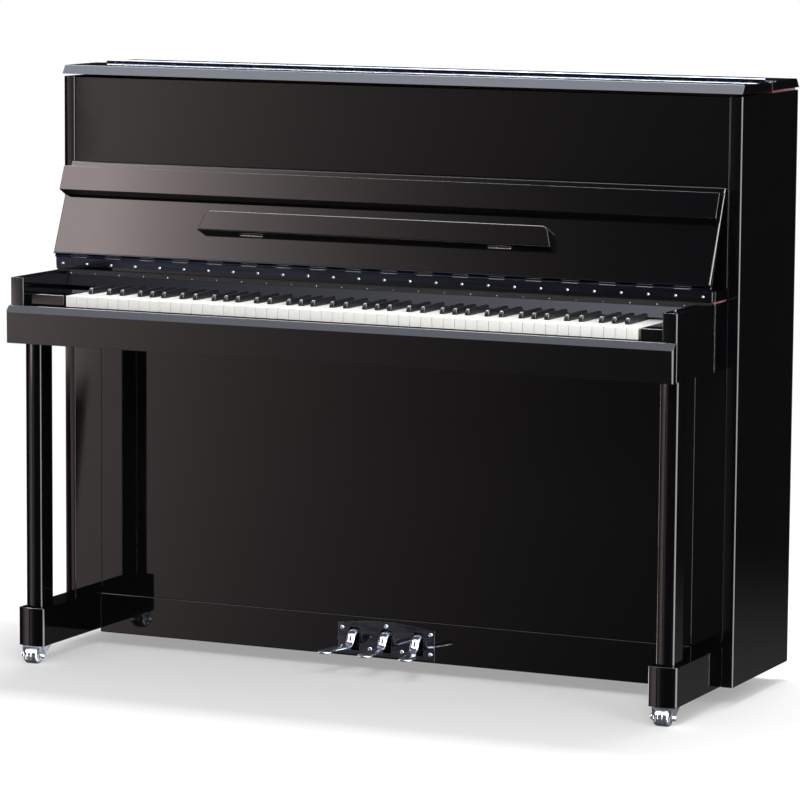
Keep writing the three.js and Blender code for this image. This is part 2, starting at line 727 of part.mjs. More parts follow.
// ---- Pedal plate: arched steel plate with its screws ----
const plateLeft = -plateWidth / 2;
const archPoints = [];
for (let i = 0; i <= 8; i++) {
  const t = i / 8;
  archPoints.push([plateLeft + plateWidth * (1 - t), plateEndTop + plateCrown * Math.sin(Math.PI * t)]);
}
const plateBody = alongY([[plateLeft, plateBottom], [plateLeft + plateWidth, plateBottom], ...archPoints],
  -plateThickness, 0);
const screwAt = ([x, z]) => new THREE.CylinderGeometry(screwRadius * 1.25, screwRadius, screwHead, 8)
  .translate(x, -plateThickness - screwHead / 2 + 0.4, z);
const plateScrews = [
  [plateLeft + screwInset, plateEndTop - screwInset], [0, plateEndTop + plateCrown - screwInset],
  [plateLeft + plateWidth - screwInset, plateEndTop - screwInset],
  ...[plateLeft + screwInset, -pedalSpacing / 2, pedalSpacing / 2, -plateLeft - screwInset].map((x) =>
    [x, plateBottom + lowScrewRise]),
];
add("pedal_plate", join(cut(plateBody, slots(-plateThickness - 1, 1)), plateScrews.map(screwAt)), chrome);

// ---- Pedals on their axles ----
const pedalBack = pedalAxisBack + pedalTail;
const shankDrop = -plateThickness - 8; // the shank turns down from here
for (const { name, x, splay } of pedals) {
  const shankTop = pedalAxisHeight + shankHeight / 2;
  const shankLow = pedalAxisHeight - shankHeight / 2;
  const shank = alongX([
    [pedalBack, shankLow], [pedalBack, shankTop], [shankDrop + 6, shankTop], [shankDrop - 2, shankTop - 5],
    [shankDrop - 9, tongueTop + 10], [shankDrop - 22, tongueTop],
    [shankDrop - 30, tongueTop - tongueThickness],
    [shankDrop - 4, tongueTop - tongueThickness], [shankDrop + 3, tongueTop], [shankDrop + 6, shankLow],
  ].reverse(), x - pedalWidth / 2, x + pedalWidth / 2);
  const tip = -pedalReach - plateThickness;
  const tongueStart = shankDrop - 12;
  const half = tongueWidth / 2;
  const tongue = alongZ([
    [x - pedalWidth / 2, tongueStart], [x + splay - half, tip + tongueToe], [x + splay - half, tip + 10],
    [x + splay - half + 7, tip + 2], [x + splay, tip], [x + splay + half - 7, tip + 2],
    [x + splay + half, tip + 10], [x + splay + half, tip + tongueToe], [x + pedalWidth / 2, tongueStart],
  ], tongueTop - tongueThickness, tongueTop);
  const axleHalf = pedalSpacing / 2 - cheekThickness;
  const axle = rod(pedalAxleRadius, x - axleHalf, x + axleHalf, pedalAxisBack, pedalAxisHeight, 12);
  add(name, join(shank, tongue, axle), chrome);
}

// ---- Front casters: swivelling fork on a stem, with one wide wheel ----
const wheelProfile = (radius, width, bore, crown) => [
  [bore, -width / 2], [radius - crown, -width / 2], [radius, -width / 5],
  [radius, width / 5], [radius - crown, width / 2], [bore, width / 2], [bore, -width / 2],
].map(([r, h]) => new THREE.Vector2(r, h));
// a wheel stands on one of its flats, at its radius below the axle
const wheel = (radius, width, bore, crown) => {
  const flat = Math.PI / wheelSides;
  const profile = wheelProfile(radius / Math.cos(flat), width, bore, crown);
  return new THREE.LatheGeometry(profile, wheelSides, flat).rotateZ(-Math.PI / 2);
};
const axleBore = axleRadius + axleClearance;

for (const side of sides) {
  const placeCaster = (g) => g.translate(side * toeMiddle, swivelY, 0);
  const cheekX = casterWheelWidth / 2 + forkGap;
  const plateUnder = 2 * casterWheelRadius + 0.5;
  const plateTop = caseBottom - seat;
  const cheekOutline = [
    [-casterTrail - 6, casterWheelRadius - 6], [-casterTrail + 6, casterWheelRadius - 6],
    [forkReach, plateUnder + 0.4], [-forkReach, plateUnder + 0.4],
  ];
  const halfPlate = cheekX + forkThickness;
  const fork = join(
    alongX(cheekOutline, -halfPlate, -cheekX),
    alongX(cheekOutline, cheekX, halfPlate),
    box(-halfPlate, halfPlate, -forkReach, forkReach, plateUnder, plateTop),
    new THREE.CylinderGeometry(stemRadius, stemRadius, stemLength, 12)
      .rotateX(Math.PI / 2).translate(0, 0, plateTop + stemLength / 2 - 1),
    rod(axleRadius, -halfPlate - axleEnd, halfPlate + axleEnd, -casterTrail, casterWheelRadius, 12),
  );
  add(`${sideName(side)}_caster_fork`, placeCaster(fork), chrome);
  const tyre = wheel(casterWheelRadius, casterWheelWidth, axleBore, 6);
  tyre.translate(0, -casterTrail, casterWheelRadius);
  add(`${sideName(side)}_caster_wheel`, placeCaster(tyre), chrome);
}

// ---- Rear casters: fixed forks under the back frame ----
const rearAxleY = frameBack - rearCasterForward;
const rearX = (side) => side * (inner - rearCasterInset);
for (const side of sides) {
  const x = rearX(side);
  const cheekX = rearWheelWidth / 2 + forkGap;
  const halfPlate = cheekX + forkThickness;
  const plateUnder = bottomBeamBottom - forkThickness;
  const outline = [
    [rearAxleY - 6, rearWheelRadius - 6], [rearAxleY + 6, rearWheelRadius - 6],
    [rearAxleY + rearWheelRadius, plateUnder + 0.5], [rearAxleY - rearWheelRadius, plateUnder + 0.5],
  ];
  add(`rear_${sideName(side)}_caster_fork`, join(
    alongX(outline, x - halfPlate, x - cheekX),
    alongX(outline, x + cheekX, x + halfPlate),
    box(x - rearPlateWidth / 2, x + rearPlateWidth / 2, rearAxleY - rearPlateDepth / 2,
      rearAxleY + rearPlateDepth / 2, plateUnder, bottomBeamBottom),
    rod(axleRadius, x - halfPlate - 2, x + halfPlate + 2, rearAxleY, rearWheelRadius, 12),
  ), steel);
  const rearWheel = wheel(rearWheelRadius, rearWheelWidth, axleBore, 4);
  add(`rear_${sideName(side)}_caster_wheel`, rearWheel.translate(x, rearAxleY, rearWheelRadius), chrome);
}

// ---- Back frame: beams, posts, pin block and bottom shelf ----
const frameHalfWidth = inner - seat;
const postFront = frameBack - postDepth;
const postStep = (2 * frameHalfWidth - postWidth) / (postCount - 1);
const posts = [];
for (let i = 0; i < postCount; i++) {
  const x = -frameHalfWidth + i * postStep;
  posts.push(box(x, x + postWidth, postFront, frameBack, bottomBeamTop, topBeamBottom));
}
add("back_frame", join(
  box(-frameHalfWidth, frameHalfWidth, beamFront, frameBack, topBeamBottom, topBeamTop),
  box(-frameHalfWidth, frameHalfWidth, beamFront, frameBack, bottomBeamBottom, bottomBeamTop),
  box(-frameHalfWidth, frameHalfWidth, blockFront, beamFront, soundboardTop + seat, ironTop),
  box(-frameHalfWidth, frameHalfWidth, blockFront, beamFront, bottomBeamBottom, soundboardBottom - seat),
  posts,
), beech);

// ---- Soundboard with ribs behind and bridges in front ----
const boardHalf = frameHalfWidth - 20;
const boardFront = beamFront - soundboardThickness;
const ribs = [];
const slant = degrees(38);
const bayMiddle = (bottomBeamTop + topBeamBottom) / 2;
for (let i = 0; i < ribCount; i++) {
  const share = (i + 0.5) / ribCount - 0.5;
  const length = boardHalf * (1.45 - 1.4 * Math.abs(share));
  const rib = new THREE.BoxGeometry(length, ribDepth, ribWidth);
  rib.rotateY(slant).translate(2 * share * ribSpread * boardHalf, beamFront + ribDepth / 2 - 0.5, 0);
  ribs.push(rib.translate(0, 0, bayMiddle + share * ribSpread * (topBeamBottom - bottomBeamTop)));
}
const ribSpace = box(-boardHalf, boardHalf, beamFront - 1, beamFront + ribDepth,
  bottomBeamTop + 2, topBeamBottom - 2);
const ribbing = toGeometry(ribs.map(toSolid).reduce((a, b) => a.add(b)).intersect(toSolid(ribSpace)));
const bridge = ([a0, b0, a1, b1]) => {
  const [x0, x1] = [a0 * boardHalf, a1 * boardHalf];
  const [z0, z1] = [b0, b1].map((share) => soundboardBottom + share * (soundboardTop - soundboardBottom));
  const length = Math.hypot(x1 - x0, z1 - z0);
  const depth = shelfDepth - soundboardThickness;
  const g = new THREE.BoxGeometry(length, depth, bridgeWidth);
  g.rotateY(-Math.atan2(z1 - z0, x1 - x0));
  return g.translate((x0 + x1) / 2, boardFront - depth / 2 + 0.5, (z0 + z1) / 2);
};
add("soundboard", join(
  box(-boardHalf, boardHalf, boardFront, beamFront, soundboardBottom, soundboardTop),
  ribbing, bridges.map(bridge),
), spruce);

// ---- Sections of the compass, and where their courses run ----
const section = (note) => (note < bassCount ? 0 : note < tenorCount ? 1 : 2);
const noteX = (note) => (note - (noteCount - 1) / 2) * notePitch + (section(note) - 1) * sectionGap;
const notes = Array.from({ length: noteCount }, (_, i) => i);
const breakX = (note) => (noteX(note - 1) + noteX(note)) / 2;

// ---- Iron frame: webs at top and bottom, with bars between ----
const ironHalf = inner - ironSideInset;
const windows = [];
const sectionBreaks = [-ironHalf + ironBar, breakX(bassCount), breakX(tenorCount), ironHalf - ironBar];
for (let i = 0; i < 3; i++) {
  const x0 = sectionBreaks[i] + (i > 0 ? ironBar / 2 : 0);
  const x1 = sectionBreaks[i + 1] - (i < 2 ? ironBar / 2 : 0);
  windows.push(box(x0, x1, ironBack - ironThickness - 1, ironBack + 1,
    ironBottom + ironBottomWeb, ironTop - ironTopWeb));
}
add("iron_frame", cut(
  box(-ironHalf, ironHalf, ironBack - ironThickness, ironBack, ironBottom, ironTop), windows), bronze);

// ---- Strings: one course for each note, held by the pressure bar ----
const pinHeight = (note) => caseTop - pinFieldDrop + (note % pinRows) * pinRowRise;
const courseLean = (note) => (note < bassCount ? bassLean : trebleLean);
const courseX = (note, z) => noteX(note) + courseLean(note) * (strikeHeight - z);
function course(note) {
  const bass = note < bassCount;
  const treble = Math.max(note - bassCount, 0) / (noteCount - 1 - bassCount);
  const room = strikeHeight - ironBottom;
  const drop = bass ? bassDrop * room + bassDropStep * note : tenorDrop * room * (1 - 0.86 * treble ** 0.7);
  const [top, bottom] = [pinHeight(note), strikeHeight - drop];
  const radius = bass ? bassRadius : trebleRadius;
  const length = (top - bottom) * Math.hypot(1, courseLean(note));
  const g = new THREE.CylinderGeometry(radius, radius, length, 3).rotateX(Math.PI / 2);
  const middle = (top + bottom) / 2;
  g.rotateY(-Math.atan(courseLean(note)));
  return g.translate(courseX(note, middle), bass ? bassPlane : stringPlane, middle);
}

const barTop = caseTop - pressureBarDrop + pressureBarHeight / 2;
const barHalf = Math.max(-courseX(0, barTop), courseX(noteCount - 1, barTop)) + pressureBarEnds;
const pressureBar = box(-barHalf, barHalf, bassPlane - 4, pinBack, barTop - pressureBarHeight, barTop);
add("strings", join(notes.map(course), pressureBar), steel);

// ---- Hammers, one row for each section, on their centre rod ----
const lean = degrees(hammerLean);
const hammerOutline = [
  [-3, -6], [3, -6], [3, hammerShank], [hammerReach, hammerShank + 4], [hammerReach, hammerShank + 10],
  [-10, hammerShank + 14], [-3, hammerShank],
].map(([a, b]) => [
  hammerAxisY + a * Math.cos(lean) - b * Math.sin(lean),
  hammerAxisZ + a * Math.sin(lean) + b * Math.cos(lean),
]);
const sectionEnds = (last) => [[0, bassCount - 1], [bassCount, tenorCount - 1], [tenorCount, last]];
const sectionBlocks = (outline, width, last) => sectionEnds(last).map(([a, b]) =>
  alongX(outline, noteX(a) - width / 2, noteX(b) + width / 2));
const rodHalf = noteX(noteCount - 1) + centreRodEnds;
add("hammers", join(
  rod(centreRadius, -rodHalf, rodHalf, hammerAxisY, hammerAxisZ, 8),
  sectionBlocks(hammerOutline, hammerWidth, noteCount - 1),
), whiteFelt);

// ---- Dampers, one row for each section, on their centre rod ----
const damperFace = bassPlane - 2.2;
const damperFoot = damperTop - damperHeight;
const damperOutline = [
  [damperAxisY - 3, damperAxisZ - 5], [damperAxisY + 3, damperAxisZ - 5], [damperFace - 12, damperFoot],
  [damperFace, damperFoot], [damperFace, damperTop], [damperFace - 12, damperTop],
];
add("dampers", join(
  rod(centreRadius, -rodHalf, rodHalf, damperAxisY, damperAxisZ, 8),
  sectionBlocks(damperOutline, damperWidth, damperCount - 1),
), whiteFelt);

// ---- Action frame: brackets with the centre rods' bearings, and the rails between them ----
const [restRailBottom, restRailTop] = restRailShare.map(inAction);
const shankHalf = 3;
const restRailBack = hammerAxisY - (restRailTop - hammerAxisZ) * Math.tan(lean)
  - shankHalf / Math.cos(lean) - restRailClearance;
const restRailFront = restRailBack - restRailThickness;
const bracketOutline = [
  [keyTail + 5, keybedTop], [keyTail + 25, keybedTop], [keyTail + 25, inAction(bracketShare.back)],
  [damperAxisY + 10, inAction(hammerRailShare[0])], [damperAxisY + 10, damperAxisZ + 12],
  [hammerAxisY + 14, hammerAxisZ + 24], [hammerAxisY + 6, restRailTop], [restRailFront, restRailTop],
  [restRailFront, inAction(bracketShare.nose)], [hammerAxisY - 10, inAction(bracketShare.neck)],
  [hammerAxisY - 10, inAction(bracketShare.waist)], [keyTail + 5, inAction(bracketShare.front)],
];
const bearing = (y, z) => rod(centreRadius + centreClearance, -barHalf - 10, barHalf + 10, y, z, 8);
const bracketEnd = rodHalf - bracketThickness;
const brackets = [-bracketEnd, breakX(bassCount), breakX(tenorCount), bracketEnd].map((x) => {
  const plate = alongX(bracketOutline, x - bracketThickness / 2, x + bracketThickness / 2);
  return cut(plate, bearing(hammerAxisY, hammerAxisZ), bearing(damperAxisY, damperAxisZ));
});
add("action_frame", join(
  brackets,
  box(-rodHalf, rodHalf, hammerAxisY - 6, hammerAxisY + 14, ...hammerRailShare.map(inAction)),
  box(-rodHalf, rodHalf, restRailFront, restRailBack, restRailBottom, restRailTop),
), beech);

piano.position.y = (slipFront - depthBack) / 2;
const object = new THREE.Group();
object.add(piano);
export default object;
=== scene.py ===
import json
import math
import bmesh
import bpy
import numpy as np
from mathutils import Matrix, Vector


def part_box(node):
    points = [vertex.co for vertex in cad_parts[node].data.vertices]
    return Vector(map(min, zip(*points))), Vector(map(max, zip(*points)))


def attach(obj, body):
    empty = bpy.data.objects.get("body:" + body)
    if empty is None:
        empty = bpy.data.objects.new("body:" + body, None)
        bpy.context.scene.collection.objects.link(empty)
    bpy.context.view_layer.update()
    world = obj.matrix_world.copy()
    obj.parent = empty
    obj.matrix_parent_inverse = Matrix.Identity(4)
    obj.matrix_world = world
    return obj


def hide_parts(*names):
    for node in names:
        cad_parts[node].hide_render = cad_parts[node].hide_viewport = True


# Upright piano in black polyester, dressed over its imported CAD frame. Metres, +X to the player's
# right, +Y to the back, +Z up.
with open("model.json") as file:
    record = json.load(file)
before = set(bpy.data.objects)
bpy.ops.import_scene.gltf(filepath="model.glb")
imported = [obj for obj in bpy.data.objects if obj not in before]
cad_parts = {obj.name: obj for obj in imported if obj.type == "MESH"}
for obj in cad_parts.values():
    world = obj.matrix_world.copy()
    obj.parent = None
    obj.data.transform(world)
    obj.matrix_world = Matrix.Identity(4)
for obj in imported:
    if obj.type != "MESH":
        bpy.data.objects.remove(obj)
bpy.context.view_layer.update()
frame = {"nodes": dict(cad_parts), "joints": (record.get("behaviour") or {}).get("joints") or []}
nodes = frame["nodes"]
joints = {joint["name"]: joint for joint in frame["joints"]}
mm = 0.001
print("frame loaded:", len(nodes), "nodes")


# sRGB hex to linear: below 0.04045 divide by 12.92, above it raise (c + 0.055) / 1.055 to 2.4
def linear(hexCode):
    parts = [int(hexCode[i:i + 2], 16) / 255 for i in (1, 3, 5)]
    return tuple(c / 12.92 if c <= 0.04045 else ((c + 0.055) / 1.055) ** 2.4 for c in parts) + (1.0,)


# adds one node: its settings, the values typed on its sockets and the links that run into it
def addNode(tree, kind, settings=None, values=None, links=None):
    node = tree.nodes.new(kind)
    for key, value in (settings or {}).items():
        setattr(node, key, value)
    for key, value in (values or {}).items():
        node.inputs[key].default_value = value
    for key, source in (links or {}).items():
        tree.links.new(source, node.inputs[key])
    return node


def newMaterial(name, values):
    material = bpy.data.materials.new(name)
    material.use_nodes = True
    tree = material.node_tree
    tree.nodes.clear()
    shader = addNode(tree, "ShaderNodeBsdfPrincipled", values=values)
    addNode(tree, "ShaderNodeOutputMaterial", links={"Surface": shader.outputs[0]})
    return material, tree, shader


# colour ramp between stops given as (position, hex)
def rampStops(ramp, stops):
    elements = ramp.color_ramp.elements
    while len(elements) < len(stops):
        elements.new(0.5)
    for element, (place, code) in zip(elements, stops):
        element.position = place
        element.color = linear(code)


# A material whose tone, roughness and relief follow one noise on Object coordinates, each where it
# is given: tones are a ramp's stops, gloss is the noise's span and the roughness at its two ends,
# relief is a strength and a depth. The coordinates pass through the mappings in their order.
def patternedMaterial(name, values, noise, mappings=(), tones=None, gloss=None, relief=None):
    material, tree, shader = newMaterial(name, values)
    where = addNode(tree, "ShaderNodeTexCoord").outputs["Object"]
    for mapping in mappings:
        where = addNode(tree, "ShaderNodeMapping", values=mapping, links={"Vector": where}).outputs[0]
    pattern = addNode(tree, "ShaderNodeTexNoise", values=noise, links={"Vector": where}).outputs["Fac"]
    if tones:
        ramp = addNode(tree, "ShaderNodeValToRGB", links={"Fac": pattern})
        rampStops(ramp, tones)
        tree.links.new(ramp.outputs[0], shader.inputs["Base Color"])
    if gloss:
        ends = dict(zip(("From Min", "From Max", "To Min", "To Max"), gloss))
        spread = addNode(tree, "ShaderNodeMapRange", values=ends, links={"Value": pattern})
        tree.links.new(spread.outputs[0], shader.inputs["Roughness"])
    if relief:
        bump = addNode(tree, "ShaderNodeBump", values={"Strength": relief[0], "Distance": relief[1]},
                       links={"Height": pattern})
        tree.links.new(bump.outputs[0], shader.inputs["Normal"])
    return material


# camera
view = {
    "place": (3.4503, -7.3679, 1.5959),
    "turn": 0.4360,      # radians to the left of straight ahead
    "dip": 0.1276,       # radians below the horizon
    "roll": -0.0071,
    "focal": 184.90,     # mm, on the sensor below
    "sensor": 36,
    "farthest": 100,
}
ahead = Vector((-math.sin(view["turn"]) * math.cos(view["dip"]),
                math.cos(view["turn"]) * math.cos(view["dip"]), -math.sin(view["dip"])))
level = Vector((math.cos(view["turn"]), math.sin(view["turn"]), 0))
under = ahead.cross(level)
across = level * math.cos(view["roll"]) + under * math.sin(view["roll"])
down = under * math.cos(view["roll"]) - level * math.sin(view["roll"])
cameraData = bpy.data.cameras.new("studioCamera")
cameraData.sensor_width = view["sensor"]
cameraData.lens = view["focal"]
cameraData.clip_end = view["farthest"]
camera = bpy.data.objects.new("studioCamera", cameraData)
bpy.context.scene.collection.objects.link(camera)
turnMatrix = Matrix((across, -down, -ahead)).transposed().to_4x4()
camera.matrix_world = Matrix.Translation(Vector(view["place"])) @ turnMatrix
bpy.context.scene.camera = camera
bpy.context.scene.view_settings.view_transform = "Standard"
print("camera set")

# Polyester lacquer over board, sprayed thick, sanded flat and buffed: deep black, mirror-like, with
# the faintest orange peel (waves about 9 mm long) and a slight haze from buffing.
blackPolyester, tree, shader = newMaterial("blackPolyesterBuffed", {
    "Base Color": linear("#08080a"), "IOR": 1.5, "Roughness": 0.04})
place = addNode(tree, "ShaderNodeTexCoord")
peel = addNode(tree, "ShaderNodeTexNoise", values={"Scale": 110.0, "Detail": 2.0, "Roughness": 0.4},
               links={"Vector": place.outputs["Object"]})
haze = addNode(tree, "ShaderNodeTexNoise", values={"Scale": 7.0, "Detail": 4.0, "Roughness": 0.6},
               links={"Vector": place.outputs["Object"]})
gloss = addNode(tree, "ShaderNodeMapRange", values={
    "From Min": 0.3, "From Max": 0.75, "To Min": 0.028, "To Max": 0.062},
    links={"Value": haze.outputs["Fac"]})
bump = addNode(tree, "ShaderNodeBump", values={"Strength": 0.10, "Distance": 0.06 * mm},
               links={"Height": peel.outputs["Fac"]})
tree.links.new(gloss.outputs[0], shader.inputs["Roughness"])
tree.links.new(bump.outputs[0], shader.inputs["Normal"])

# Acrylic key covering, cast and polished: warm white with a soft sheen, over a limewood key whose
# sides show below the covering and behind the front plate.
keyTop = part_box("keys_c")[1].z
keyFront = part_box("keys_c")[0].y
keyCover = {"thickness": 2.6 * mm, "front": 2.4 * mm}
whiteKeys, tree, shader = newMaterial("acrylicKeyCovering", {"IOR": 1.49, "Roughness": 0.22})
place = addNode(tree, "ShaderNodeTexCoord")
split = addNode(tree, "ShaderNodeSeparateXYZ", links={"Vector": place.outputs["Object"]})
belowCover = addNode(tree, "ShaderNodeMath", {"operation": "LESS_THAN"},
                     {1: keyTop - keyCover["thickness"]}, {0: split.outputs["Z"]})
behindPlate = addNode(tree, "ShaderNodeMath", {"operation": "GREATER_THAN"},
                      {1: keyFront + keyCover["front"]}, {0: split.outputs["Y"]})
bareWood = addNode(tree, "ShaderNodeMath", {"operation": "MULTIPLY"}, None,
                   {0: belowCover.outputs[0], 1: behindPlate.outputs[0]})
grain = addNode(tree, "ShaderNodeMapping", values={"Scale": (900.0, 18.0, 900.0)},
                links={"Vector": place.outputs["Object"]})
streak = addNode(tree, "ShaderNodeTexNoise", values={"Scale": 1.0, "Detail": 3.0},
                 links={"Vector": grain.outputs[0]})
limewood = addNode(tree, "ShaderNodeValToRGB", links={"Fac": streak.outputs["Fac"]})
rampStops(limewood, [(0.3, "#d8bd8e"), (0.7, "#c6a676")])
cloud = addNode(tree, "ShaderNodeTexNoise", values={"Scale": 38.0, "Detail": 3.0},
                links={"Vector": place.outputs["Object"]})
ivory = addNode(tree, "ShaderNodeValToRGB", links={"Fac": cloud.outputs["Fac"]})
rampStops(ivory, [(0.3, "#f5f5f2"), (0.7, "#eff0ec")])
cover = addNode(tree, "ShaderNodeMix", {"data_type": "RGBA"}, None,
                {0: bareWood.outputs[0], 6: ivory.outputs[0], 7: limewood.outputs[0]})
tree.links.new(cover.outputs[2], shader.inputs["Base Color"])

# Sharps of moulded phenolic resin, wiped to a satin black: a fine grain of 0.6 mm breaks up the
# shine.
blackKeys = patternedMaterial("phenolicSharpSatin", {
    "Base Color": linear("#131316"), "IOR": 1.55, "Roughness": 0.3},
    {"Scale": 1600.0, "Detail": 2.0}, relief=(0.25, 0.03 * mm))

# Steel with polished chrome plate: cold, near-mirror, with the light smears that hands and shoes
# leave.
chromePlate = patternedMaterial("chromePlatePolished", {
    "Base Color": linear("#dfe5ee"), "Metallic": 0.9, "Roughness": 0.14},
    {"Scale": 60.0, "Detail": 5.0, "Roughness": 0.65}, gloss=(0.35, 0.7, 0.10, 0.22))

# Polished nickel over black, on the pedal plate and the lid hinge's sleeves: a dark mirror with
# faint wiping marks.
blackNickel = patternedMaterial("blackNickelPolished", {
    "Base Color": linear("#5c616d"), "Metallic": 1.0, "Roughness": 0.07},
    {"Scale": 1.0, "Detail": 5.0, "Roughness": 0.7},
    [{"Scale": (14.0, 60.0, 60.0), "Rotation": (0.0, 0.6, 0.0)}],
    tones=[(0.35, "#4d515c"), (0.7, "#6f747f")], gloss=(0.35, 0.7, 0.03, 0.12))

# Pale, rough steel for painted highlights on the fallboard hinge: thin rods that stand in for the
# bright reflections along its sleeves, grains of 1 mm.
paintedHighlightSteel = patternedMaterial("paintedHighlightPaleSteel", {
    "Base Color": linear("#d2cbcd"), "Metallic": 0.8, "Roughness": 0.52},
    {"Scale": 1000.0, "Detail": 2.0}, tones=[(0.3, "#dcd5d6"), (0.7, "#c3bbbe")])

# Hinge strip of rolled steel, blued nearly black: rolling lines 0.8 mm apart run along it.
hingeSteel = patternedMaterial("hingeSteelBlued", {
    "Base Color": linear("#343a45"), "Metallic": 1.0, "Roughness": 0.2},
    {"Scale": 1.0, "Detail": 3.0}, [{"Scale": (9.0, 1250.0, 1250.0)}],
    tones=[(0.3, "#262b34"), (0.7, "#434b58")], gloss=(0.0, 1.0, 0.10, 0.24))

# Nickel plate on the shelf's small hinges: slightly warm, with faint tarnish.
nickelPlate = patternedMaterial("nickelPlatePolished", {
    "Base Color": linear("#ded6c9"), "Metallic": 1.0, "Roughness": 0.2},
    {"Scale": 240.0, "Detail": 3.0}, tones=[(0.35, "#ece5da"), (0.75, "#bdb3a3")])

# Music wire, drawn bright steel: no pattern is wide enough to show but a slight change of tone.
stringWire = patternedMaterial("musicWireDrawn", {
    "Base Color": linear("#b9b6b0"), "Metallic": 1.0, "Roughness": 0.24},
    {"Scale": 30.0}, tones=[(0.3, "#c4c2bd"), (0.7, "#a19c94")])

# Cast iron plate, filled, sprayed with bronze paint and left slightly rough by the sand (grain
# 1.5 mm).
bronzedIron = patternedMaterial("castIronBronzed", {
    "Base Color": linear("#a37c3c"), "Metallic": 0.85, "Roughness": 0.42},
    {"Scale": 650.0, "Detail": 4.0}, tones=[(0.3, "#8d6a31"), (0.7, "#b48a45")],
    relief=(0.4, 0.2 * mm))


# Planed wood: long streaks along one direction, fibres across it, and a clear coat of lacquer.
# stretch is how many changes of tone fall in a metre along x, y and z.
def plankMaterial(name, stretch, stops, roughness, turn=0.0):
    return patternedMaterial(
        name, {"IOR": 1.45, "Roughness": roughness},
        {"Scale": 1.0, "Detail": 4.0, "Roughness": 0.6, "Distortion": 0.3},
        [{"Rotation": (0.0, turn, 0.0)}, {"Scale": stretch}], tones=stops, relief=(0.2, 0.2 * mm))


# near-black beech for the bottom board: painted shade for the dark inside of the case seen through the
# pedal plate's slots
beechDarkForShade = plankMaterial("beechPaintedShadeBlack", (5.0, 260.0, 260.0),
                             [(0.3, "#1d1a18"), (0.5, "#151311"), (0.72, "#0e0d0c")], 0.45)
beech = plankMaterial("beechPlaned", (5.0, 260.0, 260.0),
                      [(0.3, "#c79c6c"), (0.5, "#b98a5a"), (0.72, "#a87848")], 0.42)
beechUpright = plankMaterial("beechPostPlaned", (220.0, 220.0, 5.0),
                             [(0.3, "#caa274"), (0.5, "#bb8f60"), (0.72, "#a97c4d")], 0.45)
spruce = plankMaterial("spruceQuarterSawn", (8.0, 8.0, 420.0),
                       [(0.3, "#dcbd8c"), (0.55, "#cfa971"), (0.75, "#b98f57")], 0.38,
                       math.radians(38))
limewoodPlain = plankMaterial("limewoodPlaned", (700.0, 12.0, 700.0),
                              [(0.3, "#dcc296"), (0.7, "#c9aa7b")], 0.5)


# Pressed wool felt: matt, with a nap of fine fibres (about 0.7 mm) and a soft sheen at grazing
# angles.
def feltMaterial(name, stops):
    return patternedMaterial(
        name, {"Roughness": 0.95, "Sheen Weight": 0.4, "Sheen Roughness": 0.5},
        {"Scale": 1400.0, "Detail": 3.0}, tones=stops, relief=(0.6, 0.3 * mm))


hammerFelt = feltMaterial("woolFeltWhite", [(0.3, "#ece6d8"), (0.7, "#d8d0be")])
redFelt = feltMaterial("woolFeltRed", [(0.3, "#7c1c23"), (0.7, "#5e1218")])
# black felt only for the painted shade strip on the name board
paintedShadeFelt = feltMaterial("paintedShadeFeltBlack", [(0.3, "#121114"), (0.7, "#0a0a0b")])
print("materials made:", len(bpy.data.materials))


rounding = {
    "weldWithin": 0.02 * mm,
    "segments": 3,
    "sharpFrom": math.radians(40),      # edges that get a bevel
    "smoothBelow": math.radians(38),    # edges that are shaded over
}


# shades faces smooth but keeps edges sharper than a limit, as a modifier, so the mesh itself stays
# as it is
def makeSmoother(name, limit):
    group = bpy.data.node_groups.new(name, "GeometryNodeTree")
    group.interface.new_socket("Geometry", in_out="INPUT", socket_type="NodeSocketGeometry")
    group.interface.new_socket("Geometry", in_out="OUTPUT", socket_type="NodeSocketGeometry")
    start = addNode(group, "NodeGroupInput")
    angle = addNode(group, "GeometryNodeInputMeshEdgeAngle")
    soft = addNode(group, "FunctionNodeCompare", {"operation": "LESS_THAN"}, {"B": limit},
                   {"A": angle.outputs["Unsigned Angle"]})
    faces = addNode(group, "GeometryNodeSetShadeSmooth", {"domain": "FACE"}, None,
                    {"Geometry": start.outputs[0]})
    edges = addNode(group, "GeometryNodeSetShadeSmooth", {"domain": "EDGE"}, None,
                    {"Geometry": faces.outputs[0], "Shade Smooth": soft.outputs[0]})
    addNode(group, "NodeGroupOutput", links={"Geometry": edges.outputs[0]})
    return group


smoother = makeSmoother("smoothByAngle", rounding["smoothBelow"])


# large flat faces keep their own direction and the small ones round them blend
def flatten(obj):
    weighted = obj.modifiers.new("weightedNormals", "WEIGHTED_NORMAL")
    weighted.mode = "FACE_AREA"
    weighted.weight = 100
    weighted.keep_sharp = True


def roundEdges(obj, width):
    obj.modifiers.new("weld", "WELD").merge_threshold = rounding["weldWithin"]
    if width:
        bevel = obj.modifiers.new("roundedEdges", "BEVEL")
        bevel.width = width
        bevel.segments = rounding["segments"]
        bevel.limit_method = "ANGLE"
        bevel.angle_limit = rounding["sharpFrom"]
        bevel.use_clamp_overlap = True
    obj.modifiers.new("smoothByAngle", "NODES").node_group = smoother
    flatten(obj)


